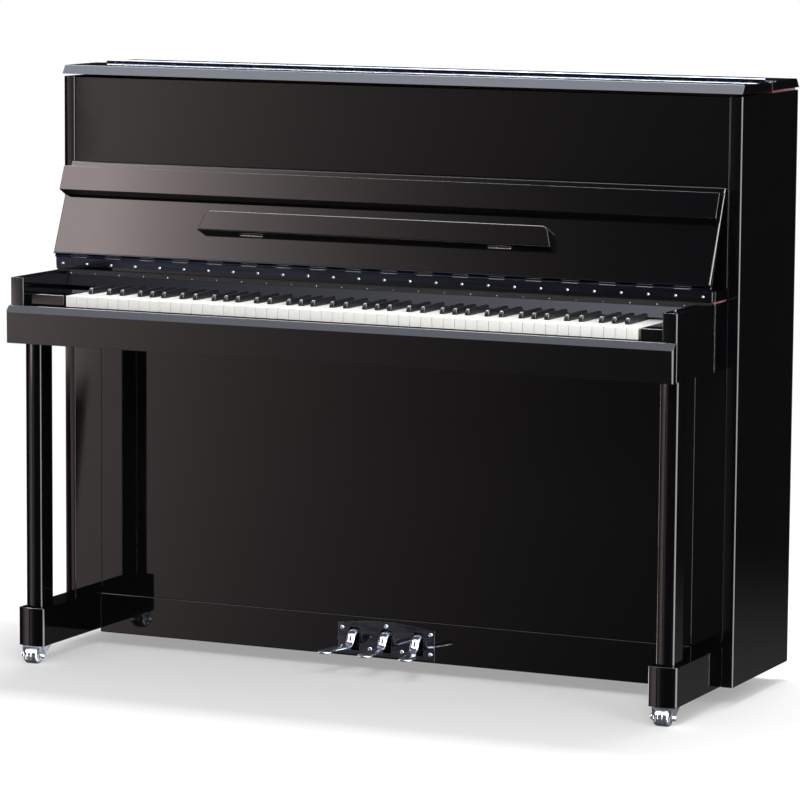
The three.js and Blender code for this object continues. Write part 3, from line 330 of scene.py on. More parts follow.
# finish and edge radius in millimetres for each group of CAD pieces
finishes = [
    (["left_side", "right_side", "left_arm", "right_arm"], blackPolyester, 2.4),
    (["key_slip", "fallboard_rail"], blackPolyester, 1.5),
    (["front_lid", "rear_lid"], blackPolyester, 0.5),
    (["fallboard"], blackPolyester, 2.6),
    (["upper_panel", "lower_panel"], blackPolyester, 1.2),
    (["left_leg", "right_leg", "left_toe_block", "right_toe_block", "toe_rail"], blackPolyester, 2.4),
    (["fallboard_lip"], blackPolyester, 3.6),
    (["keybed", "left_key_block", "right_key_block"], blackPolyester, 1.0),
    (["left_rail_felt", "right_rail_felt"], redFelt, 0.8),
    (["bottom_board"], beechDarkForShade, 0.8),
    (["action_frame", "key_frame"], beech, 0.8),
    (["back_frame"], beechUpright, 2.5),
    (["soundboard"], spruce, 1.0),
    (["iron_frame"], bronzedIron, 2.0),
    (["strings"], stringWire, 0),
    (["hammers", "dampers"], hammerFelt, 0.6),
    (["fallboard_hinge_fixed_leaf", "fallboard_hinge_moving_leaf",
      "lid_hinge_fixed_leaf", "lid_hinge_moving_leaf"], hingeSteel, 0),
    (["rear_left_caster_fork", "rear_right_caster_fork"], hingeSteel, 0.6),
    (["pedal_plate"], blackNickel, 0.5),
    (["left_pedal", "middle_pedal", "right_pedal"], chromePlate, 0.5),
    (["left_caster_fork", "right_caster_fork", "left_caster_wheel", "right_caster_wheel",
      "rear_left_caster_wheel", "rear_right_caster_wheel"], chromePlate, 0.6),
]
noteNames = ["a", "a_sharp", "b", "c", "c_sharp", "d", "d_sharp", "e", "f", "f_sharp", "g", "g_sharp"]
finishes.append((["keys_" + name for name in noteNames if "sharp" not in name], whiteKeys, 0.7))
finishes.append((["keys_" + name for name in noteNames if "sharp" in name], blackKeys, 0.8))
for names, material, radius in finishes:
    for name in names:
        obj = nodes[name]
        obj.data.materials.clear()
        obj.data.materials.append(material)
        roundEdges(obj, radius * mm)
print("finishes set on", sum(len(names) for names, _, _ in finishes), "nodes")


# A block of grids is an array (how many, rows, columns, 3). "around" joins the last column to the
# first and "capped" closes the first and the last row of every grid with one face.
def gridFaces(block, around, capped, base):
    count, rows, cols = block.shape[:3]
    start = base + np.arange(count)[:, None, None] * rows * cols
    row = np.arange(rows - 1)[None, :, None] * cols
    col = np.arange(cols if around else cols - 1)[None, None, :]
    after = (col + 1) % cols
    quads = np.stack([start + row + col, start + row + after, start + row + cols + after,
                      start + row + cols + col], -1).reshape(-1, 4)
    faces = quads.tolist()
    if capped:
        ring = np.arange(cols)[None, :]
        faces += (start[:, 0] + ring[:, ::-1]).tolist()
        faces += (start[:, 0] + (rows - 1) * cols + ring).tolist()
    return faces


# one object from blocks of (grids, around, capped), riding on a body; flatsFirst also flattens it
def makePiece(name, blocks, material, body, flatsFirst=False):
    points, faces, base = [], [], 0
    for block, around, capped in blocks:
        block = np.asarray(block, float)
        block = block[None] if block.ndim == 3 else block
        faces += gridFaces(block, around, capped, base)
        points.append(block.reshape(-1, 3))
        base += points[-1].shape[0]
    mesh = bpy.data.meshes.new(name)
    mesh.from_pydata(np.concatenate(points).tolist(), [], faces)
    work = bmesh.new()
    work.from_mesh(mesh)
    bmesh.ops.remove_doubles(work, verts=work.verts, dist=0.002 * mm)
    bmesh.ops.recalc_face_normals(work, faces=work.faces)
    work.to_mesh(mesh)
    work.free()
    mesh.materials.append(material)
    piece = bpy.data.objects.new(name, mesh)
    bpy.context.scene.collection.objects.link(piece)
    piece.modifiers.new("smoothByAngle", "NODES").node_group = smoother
    if flatsFirst:
        flatten(piece)
    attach(piece, body)
    return piece


# a profile of (radius, place along the axis) carried once round an axis through centre; several
# centres give several copies. The point at angle t is radius * cos t and radius * sin t off the axis.
def turned(profile, centres, axis, segments):
    profile = np.asarray(profile, float)
    angle = np.linspace(0, 2 * np.pi, segments, endpoint=False)
    radius, along = profile[:, 0][:, None], profile[:, 1][:, None] + 0 * angle[None, :]
    first, second = radius * np.cos(angle), radius * np.sin(angle)
    order = {"x": (along, first, second), "y": (first, along, second),
             "z": (first, second, along)}[axis]
    return np.asarray(centres, float).reshape(-1, 1, 1, 3) + np.stack(order, -1)[None]


# one piece of a profile turned at every centre
def makeTurned(name, profile, centres, axis, segments, material, body):
    block = turned(profile, centres, axis, segments)
    return makePiece(name, [(block, True, False)], material, body)


# points side by side along x
def inRow(x, y, z):
    return np.column_stack([x, y + 0 * x, z + 0 * x])


# a section of (across, up) points carried along stations (place, across scale, up scale), all
# along +Y
def lofted(section, stations, centres):
    section, stations = np.asarray(section, float), np.asarray(stations, float)
    across = section[None, :, 0] * stations[:, None, 1]
    upward = section[None, :, 1] * stations[:, None, 2]
    length = stations[:, None, 0] + 0 * across
    shape = np.stack([across, length, upward], -1)
    return np.asarray(centres, float).reshape(-1, 1, 1, 3) + shape[None]


# rounded box: each plan corner is three points on its round, and the plan is pulled in by the
# radius at the lowest and highest rows and by 0.3 of it at the rows next to them
def roundedBoxes(size, centres, radius):
    a, b, c = np.asarray(size, float) / 2
    corner = np.array([(a, b - radius), (a - 0.3 * radius, b - 0.3 * radius), (a - radius, b)])
    quarters = np.concatenate([corner, (corner * (-1, 1))[::-1], corner * (-1, -1),
                               (corner * (1, -1))[::-1]])
    inset = np.array([(a - radius) / a, (b - radius) / b])
    partly = (1 + inset) / 2 + (1 - inset) * 0.2
    rows = [(-c, inset), (-c + 0.3 * radius, partly), (-c + radius, 1), (c - radius, 1),
            (c - 0.3 * radius, partly), (c, inset)]
    shape = np.stack([np.column_stack([quarters * scale, np.full(len(quarters), z)])
                      for z, scale in rows])
    return np.asarray(centres, float).reshape(-1, 1, 1, 3) + shape[None]


# domed head: the radius falls as the square root of one minus the height squared
def domeProfile(radius, height, sign=1.0):
    rise = np.linspace(1, 0, 6)
    dome = np.column_stack([radius * np.sqrt(1 - rise ** 2), sign * height * (0.2 + 0.8 * rise)])
    return np.concatenate([dome, [[radius, 0.0], [0.0, 0.0]]])


# sharps: one piece for each black note name, on a limewood stick
keyboard = {
    "count": 88,
    "whiteCount": 52,
    "gap": 1 * mm,
    "spread": 3 * mm,          # outer sharps of a group stand away from its middle
    "head": 50 * mm,           # white key's head in front of the sharps
    "frontGap": 1.6 * mm,
    "halfWidth": 5 * mm,
    "height": 12 * mm,
    "stickHeight": 21.6 * mm,
    "stickBelow": 0.4 * mm,    # under the keys' tops
    "stickSlimmer": 0.6 * mm,
    "stickRoll": 0.8 * mm,
}
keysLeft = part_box("keys_a")[0].x - keyboard["gap"] / 2
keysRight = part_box("keys_c")[1].x + keyboard["gap"] / 2
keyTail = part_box("keys_c")[1].y
pitch = (keysRight - keysLeft) / keyboard["whiteCount"]
leaning = {"a_sharp": 1, "c_sharp": -1, "d_sharp": 1, "f_sharp": -1, "g_sharp": 0}
sharpPlaces = {name: [] for name in leaning}
whites = 0
for note in range(keyboard["count"]):
    name = noteNames[note % len(noteNames)]
    if name in leaning:
        sharpPlaces[name].append(keysLeft + whites * pitch + keyboard["spread"] * leaning[name])
    else:
        whites += 1
# half of the section, as shares of the half width and of the height, from the skirt up over the
# shoulder
halfSection = np.array([(1.0, -0.12), (1.0, 0.0), (0.955, 0.42), (0.915, 0.74), (0.88, 0.86),
                        (0.79, 0.955), (0.64, 1.0), (0.32, 1.01)])
sharpSection = np.concatenate([halfSection, [(0.0, 1.012)], (halfSection * (-1, 1))[::-1]])
# millimetres along the sharp, share of the width and of the height: the front face leans back and
# rounds over
sharpStations = np.array([
    (0.0, 0.82, 0.05), (0.3, 0.87, 0.2), (0.9, 0.91, 0.4), (1.9, 0.95, 0.63), (3.1, 0.975, 0.82),
    (4.4, 0.99, 0.94), (6.2, 1.0, 0.99), (9.0, 1.0, 1.0), (50.0, 1.0, 1.0), (92.0, 1.0, 1.0),
    (94.9, 0.99, 0.985), (96.0, 0.96, 0.94), (96.4, 0.92, 0.86)])
frontOfSharps = keyFront + keyboard["head"] + keyboard["frontGap"]
stations = sharpStations * (mm, keyboard["halfWidth"], keyboard["height"])
stickLength = keyTail - frontOfSharps
stickSize = (2 * keyboard["halfWidth"] - keyboard["stickSlimmer"], stickLength, keyboard["stickHeight"])
stickPlace = (0, stickLength / 2, -keyboard["stickBelow"] - keyboard["stickHeight"] / 2)
for name, places in sharpPlaces.items():
    label = name[0].upper() + "Sharp"
    centres = np.array([(x, frontOfSharps, keyTop) for x in places])
    resin = makePiece("sharps" + label, [(lofted(sharpSection, stations, centres), True, True)],
                      blackKeys, "keys_" + name)
    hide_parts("keys_" + name)
    sticks = roundedBoxes(stickSize, centres + stickPlace, keyboard["stickRoll"])
    makePiece("sharpSticks" + label, [(sticks, True, True)], limewoodPlain, "keys_" + name)
print("sharps made:", sum(len(p) for p in sharpPlaces.values()))

# legs and toe blocks: upright posts with a slightly bowed front
posts = {
    "bow": {"leg": 2.2 * mm, "toe_block": 3.2 * mm},   # how far the middle stands before the corners
    "frontRadius": {"leg": 3.5 * mm, "toe_block": 4.0 * mm},
    "backRadius": 2.0 * mm,
    "roll": {"leg": 0.4 * mm, "toe_block": 1.6 * mm},  # rounding of the top and bottom edges
}


# plan: a front of depth bow * u * u across the width, then quarter rounds and straight sides; every
# point has its outward direction, and the first and last rows step inwards along it by a quarter
# round
def bowedPost(low, high, bow, frontRadius, backRadius, roll):
    half, middle = (high.x - low.x) / 2, (high.x + low.x) / 2
    tilt = math.atan(2 * bow / half)
    inside = half - frontRadius
    frontCentre = low.y + bow + frontRadius * math.cos(tilt)
    u = np.linspace(-1, 1, 25)
    reach = inside + frontRadius * math.sin(tilt)
    lean = np.arctan(2 * bow * u / reach)
    rounds = [(np.column_stack([u * reach, low.y + bow * u * u]),
               np.column_stack([np.sin(lean), -np.cos(lean)]))]
    corners = [((inside, frontCentre), frontRadius, -math.pi / 2 + tilt, 0),
               ((half - backRadius, high.y - backRadius), backRadius, 0, math.pi / 2),
               ((backRadius - half, high.y - backRadius), backRadius, math.pi / 2, math.pi),
               ((-inside, frontCentre), frontRadius, math.pi, 1.5 * math.pi - tilt)]
    for centre, radius, start, end in corners:
        angle = np.linspace(start, end, 8)
        out = np.column_stack([np.cos(angle), np.sin(angle)])
        rounds.append((np.array(centre) + radius * out, out))
    plan = np.concatenate([points for points, _ in rounds])
    outward = np.concatenate([out for _, out in rounds])
    turn = np.linspace(0, math.pi / 2, 5)
    inset = np.concatenate([roll * (1 - np.sin(turn)), roll * (1 - np.sin(turn))[::-1]])
    rise = roll * (1 - np.cos(turn))
    level = np.concatenate([low.z + rise, high.z - rise[::-1]])
    flat = plan[None] - inset[:, None, None] * outward[None]
    return np.concatenate([flat + (middle, 0), np.repeat(level[:, None, None], len(plan), 1)], -1)


for side in ("left", "right"):
    for part, node in (("Leg", "leg"), ("ToeBlock", "toe_block")):
        low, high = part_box(side + "_" + node)
        shape = bowedPost(low, high, posts["bow"][node], posts["frontRadius"][node],
                          posts["backRadius"], posts["roll"][node])
        post = makePiece(side + part + "Lacquered", [(shape, True, True)], blackPolyester, "case",
                         flatsFirst=True)
        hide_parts(side + "_" + node)

# red felt between the case sides and the rear lid
lidFelt = {
    "narrower": 6 * mm,      # than the case side
    "shorter": 24 * mm,      # than the rear lid
    "thinner": 0.2 * mm,     # than the gap
    "roll": 0.8 * mm,
}
lidLow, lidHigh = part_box("rear_lid")
for side in ("left", "right"):
    low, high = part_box(side + "_side")
    size = (high.x - low.x - lidFelt["narrower"], lidHigh.y - lidLow.y - lidFelt["shorter"],
            lidLow.z - high.z - lidFelt["thinner"])
    centre = ((low.x + high.x) / 2, (lidHigh.y + lidLow.y) / 2, (lidLow.z + high.z) / 2)
    makePiece(side + "LidFelt", [(roundedBoxes(size, [centre], lidFelt["roll"]), True, True)],
              redFelt, "case")
print("posts made")

# pedals: each one loft along its own curve, on a short axle
pedal = {
    "stations": 56,
    "around": 28,
    "spacing": 71 * mm,
    "splay": 18 * mm,            # how far the outer pedals' tips turn outwards
    "splayFrom": 74 * mm,        # in front of the axle
    "splayOver": 62 * mm,
    "toe": 15 * mm,              # length of the rounded end
    "fullness": 2 / 2.3,         # power of cosine and sine in the section; 1 would be an ellipse
    "axleRadius": 3.9 * mm,
    "axleHalf": 27 * mm,
}
# knots along the curve in millimetres: y and z from the axle forwards, over the bend and out, then
# width and height
pedalKnots = mm * np.array([
    (20, 0, 17.0, 12.5), (-12, 0, 17.0, 12.5), (-36, 1, 17.5, 12.5), (-50, 2.0, 18.0, 12.5),
    (-59, 1.6, 18.5, 12.5), (-66, -2.5, 18.8, 12.0), (-69.5, -9.5, 18.8, 11.0),
    (-72, -16.5, 18.8, 10.4), (-77, -21.8, 19.0, 9.6), (-86, -24.2, 19.8, 8.8),
    (-100, -24.6, 21.8, 8.0), (-120, -24.6, 25.5, 7.3), (-145, -24.6, 29.6, 7.1),
    (-164.4, -24.6, 30.0, 6.6)])
passed = np.concatenate([[0], np.cumsum(np.hypot(*np.diff(pedalKnots[:, :2], axis=0).T))])
t = np.linspace(0, passed[-1], pedal["stations"])
along = [np.interp(t, passed, knots) for knots in pedalKnots.T]
pedalSide = np.column_stack(along[:2])
for _ in range(3):
    pedalSide[1:-1] = (pedalSide[:-2] + 2 * pedalSide[1:-1] + pedalSide[2:]) / 4
# the toe closes as a quarter of an ellipse, less so in height, and its tip to almost nothing
left = (passed[-1] - t) / pedal["toe"]
taper = np.sqrt(np.clip(1 - np.clip(1 - left, 0, 1) ** 2, 0.0, 1))
taper[-1] = 0.02
halfWidth = along[2] / 2 * taper
halfHeight = along[3] / 2 * (0.35 + 0.65 * taper)
halfHeight[-1] *= 0.1
# superellipse section: cosine and sine raised to the fullness
angle = np.linspace(0, 2 * np.pi, pedal["around"], endpoint=False)
sectionX = np.sign(np.cos(angle)) * np.abs(np.cos(angle)) ** pedal["fullness"]
sectionZ = np.sign(np.sin(angle)) * np.abs(np.sin(angle)) ** pedal["fullness"]
plateLow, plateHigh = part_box("pedal_plate")
plateMiddle, plateHalf = (plateHigh.x + plateLow.x) / 2, (plateHigh.x - plateLow.x) / 2
axleEnds = [(0, -pedal["axleHalf"]), (pedal["axleRadius"], -pedal["axleHalf"]),
            (pedal["axleRadius"], pedal["axleHalf"]), (0, pedal["axleHalf"])]
for place, body in zip((-1, 0, 1), ("left_pedal", "middle_pedal", "right_pedal")):
    axle = Vector(joints[body + "_press"]["pos_m"])
    middle = plateMiddle + place * pedal["spacing"]
    # sideways drift: 3 d^2 - 2 d^3 of the way out
    drift = np.clip((-pedalSide[:, 0] - pedal["splayFrom"]) / pedal["splayOver"], 0, 1)
    x = middle + place * pedal["splay"] * drift * drift * (3 - 2 * drift)
    path = np.column_stack([x, axle.y + pedalSide[:, 0], axle.z + pedalSide[:, 1]])
    forwards = np.gradient(path, axis=0)
    forwards /= np.linalg.norm(forwards, axis=1)[:, None]
    sidewise = np.cross(forwards, (0, 0, 1.0))
    sidewise /= np.linalg.norm(sidewise, axis=1)[:, None]
    upwards = np.cross(sidewise, forwards)
    rings = (path[:, None] + sidewise[:, None] * (halfWidth[:, None] * sectionX)[..., None]
             + upwards[:, None] * (halfHeight[:, None] * sectionZ)[..., None])
    rod = turned(axleEnds, [(middle, axle.y, axle.z)], "x", 20)
    piece = makePiece(body.split("_")[0] + "PedalPolished", [(rings, True, True), (rod, True, False)],
                      chromePlate, body)
    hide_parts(body)

# pedal plate's seven oval-headed screws
plateScrews = {
    "radius": 4.4 * mm,
    "height": 2.6 * mm,
    "sunk": 0.8 * mm,
    "corner": (9 * mm, 18.5 * mm),      # from the plate's end and from its highest point
    "middleDown": 9 * mm,
    "footAcross": (-98 * mm, -35.5 * mm, 35.5 * mm, 98 * mm),
    "footUp": 13 * mm,
}
plateFace = plateLow.y + plateScrews["sunk"]
cornerX, cornerZ = plateHalf - plateScrews["corner"][0], plateHigh.z - plateScrews["corner"][1]
screwPlaces = [(plateMiddle - cornerX, plateFace, cornerZ),
               (plateMiddle, plateFace, plateHigh.z - plateScrews["middleDown"]),
               (plateMiddle + cornerX, plateFace, cornerZ)]
screwPlaces += [(plateMiddle + offset, plateFace, plateLow.z + plateScrews["footUp"])
                for offset in plateScrews["footAcross"]]
head = domeProfile(plateScrews["radius"], plateScrews["height"], -1.0)
makeTurned("pedalPlateScrews", head, screwPlaces, "y", 20, chromePlate, "case")
print("pedals made")

# casters: half sections of the wheels as (radius, share of the half width) from the bore out
casters = {
    # bore, sunk hub, rounded shoulder, tread with two shallow grooves
    "frontEdge": [(3.4, -0.82), (7.6, -0.82), (8.6, -0.97), (12.6, -1.0), (15.0, -0.96),
                  (16.4, -0.84), (17.0, -0.66), (17.0, -0.34), (16.5, -0.31), (16.5, -0.27),
                  (17.0, -0.24)],
    "rearEdge": [(3.4, -0.8), (9.0, -0.8), (10.0, -1.0), (19.0, -1.0), (21.0, -0.9), (22.0, -0.6),
                 (22.0, 0.0)],
    # domed axle nut as (radius, place) in millimetres
    "nut": [(0, 0), (5.2, 0.0), (5.6, 0.6), (5.6, 3.0), (4.6, 4.4), (2.6, 5.4), (0, 5.8)],
    "nutInside": 5.6 * mm,     # of the fork's outer faces
}


# the half section, its mirror image and its first point again, turned about the axle; the last
# radius becomes the axle's height above the floor and the others are scaled with it
def makeWheel(name, node, body, edge, segments):
    low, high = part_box(node)
    centre = (low + high) / 2
    scale, half = centre.z / edge[-1][0], (high.x - low.x) / 2
    profile = [(r * scale, a * half) for r, a in edge]
    profile += [(r, -a) for r, a in profile[::-1] if a] + [profile[0]]
    wheel = makeTurned(name, profile, [centre], "x", segments, chromePlate, body)
    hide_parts(node)
    return centre


for side in ("left", "right"):
    centre = makeWheel(side + "CasterWheelTurned", side + "_caster_wheel", side + "_caster_wheel",
                       casters["frontEdge"], 56)
    forkLow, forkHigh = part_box(side + "_caster_fork")
    nuts = []
    for x, sign in ((forkHigh.x - casters["nutInside"], 1), (forkLow.x + casters["nutInside"], -1)):
        profile = np.array(casters["nut"]) * (mm, sign * mm)
        nuts.append((turned(profile, [(x, centre.y, centre.z)], "x", 20), True, False))
    makePiece(side + "CasterNuts", nuts, chromePlate, side + "_caster")
    makeWheel("rear" + side.capitalize() + "WheelTurned", "rear_" + side + "_caster_wheel",
              "rear_" + side + "_wheel", casters["rearEdge"], 48)
print("casters made")

# long hinges: round knuckles over the leaves, screws on the leaves that show
hinges = {
    "knuckle": 38 * mm,
    "gap": 0.4 * mm,
    "endRoll": 0.5 * mm,
    "fallboardHalf": 713 * mm,
    "fallboardRadius": 3.45 * mm,
    "lidHalf": 726 * mm,
    "lidRadius": 3.0 * mm,
    "screwCount": 26,
    "screwSpan": (-697 * mm, 695 * mm),
    "screwHead": (2.9 * mm, 1.9 * mm),
    "screwLevel": 802 * mm,
    "screwBehindLeaf": 0.1 * mm,
    "leafBehindAxis": 2.3 * mm,
    "pinHead": (1.2 * mm, 0.9 * mm),
    "pinLevel": 783 * mm,
    "pinShift": 17 * mm,        # from the screw to its left
    "pinBehindLeaf": 3.3 * mm,
    # the painted highlight rods along the fallboard hinge's moving sleeves
    "highlightRadius": 0.45 * mm,
    "highlightAngles": (58, -30),    # degrees above the forward direction
    "highlightEnds": (2.5 * mm, 3 * mm),
    "lidScrewCount": 21,
    "lidScrewHalf": 700 * mm,
    "lidScrewHead": (3.0 * mm, 0.4 * mm),
    "lidScrewFromAxis": 13 * mm,
    "lidScrewSunk": 0.35 * mm,
}


# centres of every second knuckle along a hinge that reaches half to each side
def knuckleCentres(half, axis, first):
    count = int(2 * half / hinges["knuckle"] + 1e-9)
    length = 2 * half / count
    places = -half + (np.arange(first, count, 2) + 0.5) * length
    return inRow(places, axis[1], axis[2]), length


boardAxis = joints["fallboard_close"]["pos_m"]
lidAxis = joints["lid_fold"]["pos_m"]
for label, axis, movingBody, metal in (("fallboard", boardAxis, "fallboard", hingeSteel),
                                       ("lid", lidAxis, "lid", blackNickel)):
    half, radius = hinges[label + "Half"], hinges[label + "Radius"]
    for first, (state, body) in enumerate((("Fixed", "case"), ("Moving", movingBody))):
        centres, length = knuckleCentres(half, axis, first)
        reach, roll = length / 2 - hinges["gap"] / 2, hinges["endRoll"]
        # sleeve: straight, with a roll at each end, closed by flat ends
        profile = [(0, -reach), (radius - roll, -reach), (radius, -reach + roll),
                   (radius, reach - roll), (radius - roll, reach), (0, reach)]
        makeTurned(label + "Knuckles" + state, profile, centres, "x", 16, metal, body)
spacing = np.linspace(*hinges["screwSpan"], hinges["screwCount"])
leafFace = boardAxis[1] + hinges["leafBehindAxis"]
screws = inRow(spacing, leafFace + hinges["screwBehindLeaf"], hinges["screwLevel"])
head = domeProfile(*hinges["screwHead"], -1.0)
makeTurned("fallboardHingeScrews", head, screws, "y", 16, chromePlate, "case")
pins = inRow(spacing[:-1] + hinges["pinShift"], leafFace + hinges["pinBehindLeaf"],
             hinges["pinLevel"])
head = domeProfile(*hinges["pinHead"], -1.0)
makeTurned("nameBoardPins", head, pins, "y", 12, chromePlate, "case")
# painted highlights: bright lines along the top and the foot of the moving sleeves, thin pale rods sunk
# to their axes in place of the sleeves' own reflections
centres, length = knuckleCentres(hinges["fallboardHalf"], boardAxis, 1)
ends, thin = [length / 2 - end for end in hinges["highlightEnds"]], hinges["highlightRadius"]
line = [(0, -ends[0]), (thin, -ends[1]), (thin, ends[1]), (0, ends[0])]
steep = np.radians(hinges["highlightAngles"])
offsets = hinges["fallboardRadius"] * np.column_stack([0 * steep, -np.cos(steep), np.sin(steep)])
highlightRods = (centres[None] + offsets[:, None]).reshape(-1, 3)
makeTurned("fallboardHingePaintedHighlights", line, highlightRods, "x", 8, paintedHighlightSteel, "fallboard")
# painted shade: a thin matt black felt strip over the upright strip of the name board, standing in for
# the shade that lies on it, with the pins in it
strip = {
    "low": 780.3 * mm,
    "high": 790.7 * mm,
    "thickness": 0.3 * mm,
    "behindFoot": 16 * mm,
    "shorter": 3 * mm,      # than the rail
    "roll": 0.1 * mm,
}
boardLow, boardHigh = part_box("fallboard_rail")
size = (boardHigh.x - boardLow.x - strip["shorter"], strip["thickness"], strip["high"] - strip["low"])
centre = (0, boardLow.y + strip["behindFoot"] - strip["thickness"] / 2,
          (strip["low"] + strip["high"]) / 2)
shadeStripGrid = roundedBoxes(size, [centre], strip["roll"])
makePiece("nameBoardPaintedShade", [(shadeStripGrid, True, True)], paintedShadeFelt, "case")
head = domeProfile(*hinges["lidScrewHead"])
lidScrewX = np.linspace(-hinges["lidScrewHalf"], hinges["lidScrewHalf"], hinges["lidScrewCount"])
for body, sign in (("case", 1), ("lid", -1)):
    lidScrews = inRow(lidScrewX, lidAxis[1] + sign * hinges["lidScrewFromAxis"],
                      lidHigh.z - hinges["lidScrewSunk"])
    makeTurned("lidHingeScrews" + body.capitalize(), head, lidScrews, "z", 16, hingeSteel, body)

# music shelf and its two nickel-plated hinges: five knuckles each, and the leaf screwed to the
# fallboard
shelf = {
    "lean": math.radians(22.8),  # of the fallboard, from upright
    "half": 383.5 * mm,          # of the hinge edge
    "taper": 13.5 * mm,
    "height": 42 * mm,
    "depth": 22 * mm,
    "cornerRadius": (1.0 * mm, 9.0 * mm),        # at the hinge edge and at the free edge
    "edgeRadius": 2.6 * mm,
    "axisFromCorner": (1.6 * mm, 2.0 * mm),      # hinge axis below the edge, and out of the board
    "hingeOffset": 270 * mm,
    "knuckleCount": 5,
    "knucklePitch": 9.8 * mm,
    "sleeve": [(0, -4.6), (1.3, -4.6), (1.6, -4.3), (1.6, 4.3), (1.3, 4.6), (0, 4.6)],   # mm
    # mm from the axis: the leaf's corners across and up the board, and its faces out of the board
    "leaf": [(-24.5, -1), (24.5, -1), (24.5, -4), (-24.5, -4)],
    "leafFaces": (-2.2, -1.2),
}
sideways = np.array([1.0, 0.0, 0.0])
upBoard = np.array([0.0, math.sin(shelf["lean"]), math.cos(shelf["lean"])])
outOfBoard = np.array([0.0, -math.cos(shelf["lean"]), math.sin(shelf["lean"])])
shelfAxis = np.array(joints["shelf_open"]["pos_m"])
sleeve = np.array(shelf["sleeve"]) * mm
knuckles = (np.arange(shelf["knuckleCount"]) - (shelf["knuckleCount"] - 1) / 2) * shelf["knucklePitch"]
# flat leaf: a across, b up and n out of the board
leaf = np.array([[(a, b, n) for a, b in shelf["leaf"]] for n in shelf["leafFaces"]]) * mm
leaf = leaf[..., :1] * sideways + leaf[..., 1:2] * upBoard + leaf[..., 2:] * outOfBoard
for sign, label in ((-1, "Left"), (1, "Right")):
    middle = shelfAxis + sign * shelf["hingeOffset"] * sideways
    places = middle[None] + np.outer(knuckles, sideways)
    for first, part, body in ((0, "Outer", "music_shelf"), (1, "Inner", "fallboard")):
        makeTurned("shelfHinge" + label + part, sleeve, places[first::2], "x", 16, nickelPlate, body)
    makePiece("shelfHinge" + label + "Leaf", [(middle + leaf, True, True)], hingeSteel, "fallboard")
# shelf's outline (a across, b up the board): at each corner P a curve with its ends at the radius
# from P, (1-t)^2 * start + 2t(1-t) * P + t^2 * end
corners = np.array([(-shelf["half"], 0), (shelf["half"], 0),
                    (shelf["half"] - shelf["taper"], shelf["height"]),
                    (shelf["taper"] - shelf["half"], shelf["height"])])
reach = np.array([shelf["cornerRadius"][i] for i in (0, 0, 1, 1)])[:, None]
before, after = np.roll(corners, 1, axis=0) - corners, np.roll(corners, -1, axis=0) - corners
start = corners + before / np.linalg.norm(before, axis=1, keepdims=True) * reach
end = corners + after / np.linalg.norm(after, axis=1, keepdims=True) * reach
t = np.linspace(0, 1, 8)[None, :, None]
outline = (1 - t) ** 2 * start[:, None] + 2 * t * (1 - t) * corners[:, None] + t ** 2 * end[:, None]
outline = outline.reshape(-1, 2)
# rows from the back to the front face: the front edge's inset is edgeRadius * (1 - cos u) and its
# depth grows by sin u
u = np.linspace(0, np.pi / 2, 7)
inset = np.append(0, shelf["edgeRadius"] * (1 - np.cos(u)))
depth = np.append(0, shelf["depth"] - shelf["edgeRadius"] * (1 - np.sin(u)))
halves = np.array([shelf["half"], shelf["height"] / 2])
shrink = (halves - inset[:, None]) / halves
halfUp = np.array([0, shelf["height"] / 2])
flat = halfUp + (outline[None] - halfUp) * shrink[:, None]
hingeEdge = np.array([0, *shelfAxis[1:]])
hingeEdge += shelf["axisFromCorner"][0] * upBoard - shelf["axisFromCorner"][1] * outOfBoard
grid = (hingeEdge + flat[..., :1] * sideways + flat[..., 1:] * upBoard
        + depth[:, None, None] * outOfBoard)
board = makePiece("musicShelfLacquered", [(grid, True, True)], blackPolyester, "music_shelf",
                  flatsFirst=True)
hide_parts("music_shelf")
print("hinges made")

# action: hammers, dampers and tuning pins, seen when the lid is open
action = {
    "pitch": 13.195 * mm,        # from note to note
    "breaks": (26, 58),          # first note of the tenor and of the treble
    "breakGap": 28 * mm,
    "hammerAxis": (73.99 * mm, 868.0 * mm),      # y and z of the centre rod
    "hammerLean": math.radians(19),
    "shank": 119 * mm,
    "shankRadius": 2.75 * mm,
    "shankEnds": (2 * mm, 6 * mm),      # above the rod, and into the head
    "headShort": 8.2 * mm,              # half of the head's shorter measure
    "headTipGap": 1.2 * mm,             # short of the back of the solid's box
    "headBack": 10 * mm,                # from the shank's line to the head's front end
    "headAbove": (7 * mm, 3 * mm),      # past the shank along the lean, and then straight down
    "headWide": (8.5 * mm, 0.86),       # width, and the share to which its faces are drawn in
    # mm, y and z: the butt from the centre rod, the felt block from its face's foot, the damper's
    # rod from the dampers' nearest and lowest corner, and its wire first from the rod, then from
    # the face's foot
    "butt": [(-5, -5), (6, -5), (5, 10), (-3, 22), (-9, 20)],
    "buttMiddle": (0, 6),
    "buttWide": (7 * mm, 0.9),
    "block": [(-11, 1), (-2, 0), (0, 3), (0, 39), (-2, 42), (-11, 41)],
    "blockMiddle": (-6, 21),
    "blockWide": (7 * mm, 0.94),
    "blockHeight": 42 * mm,
    "damperRod": (3, 5),
    "wireLow": [(0, 0), (6, 12)],
    "wireHigh": [(-13, -4), (-10, 12)],
    "faceRoll": 1.2 * mm,               # depth over which the faces are drawn in
    "damperCount": 68,
    "wireRadius": 1.1 * mm,
    "rodRadius": 3 * mm,
    "rodPast": 30 * mm,
    "strike": 990 * mm,
    "lean": (0.42, -0.12),       # courses' slope in the bass and above it
    "pinRow": (1068 * mm, 16 * mm),
    "singles": 10,               # lowest notes with one string, then two up to the tenor
    # mm, radius and depth: chamfered end, bare pin, coil of wire, and the foot in the plate
    "pin": [(0, -24), (2.6, -24), (3.1, -23), (3.1, -12), (4.4, -11.6), (4.4, -7), (3.1, -6.6),
            (3.1, 1), (0, 1)],
}
note = np.arange(keyboard["count"])
section = (note >= action["breaks"][0]).astype(int) + (note >= action["breaks"][1])
noteX = (note - (keyboard["count"] - 1) / 2) * action["pitch"] + (section - 1) * action["breakGap"]
hammerBox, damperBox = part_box("hammers"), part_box("dampers")


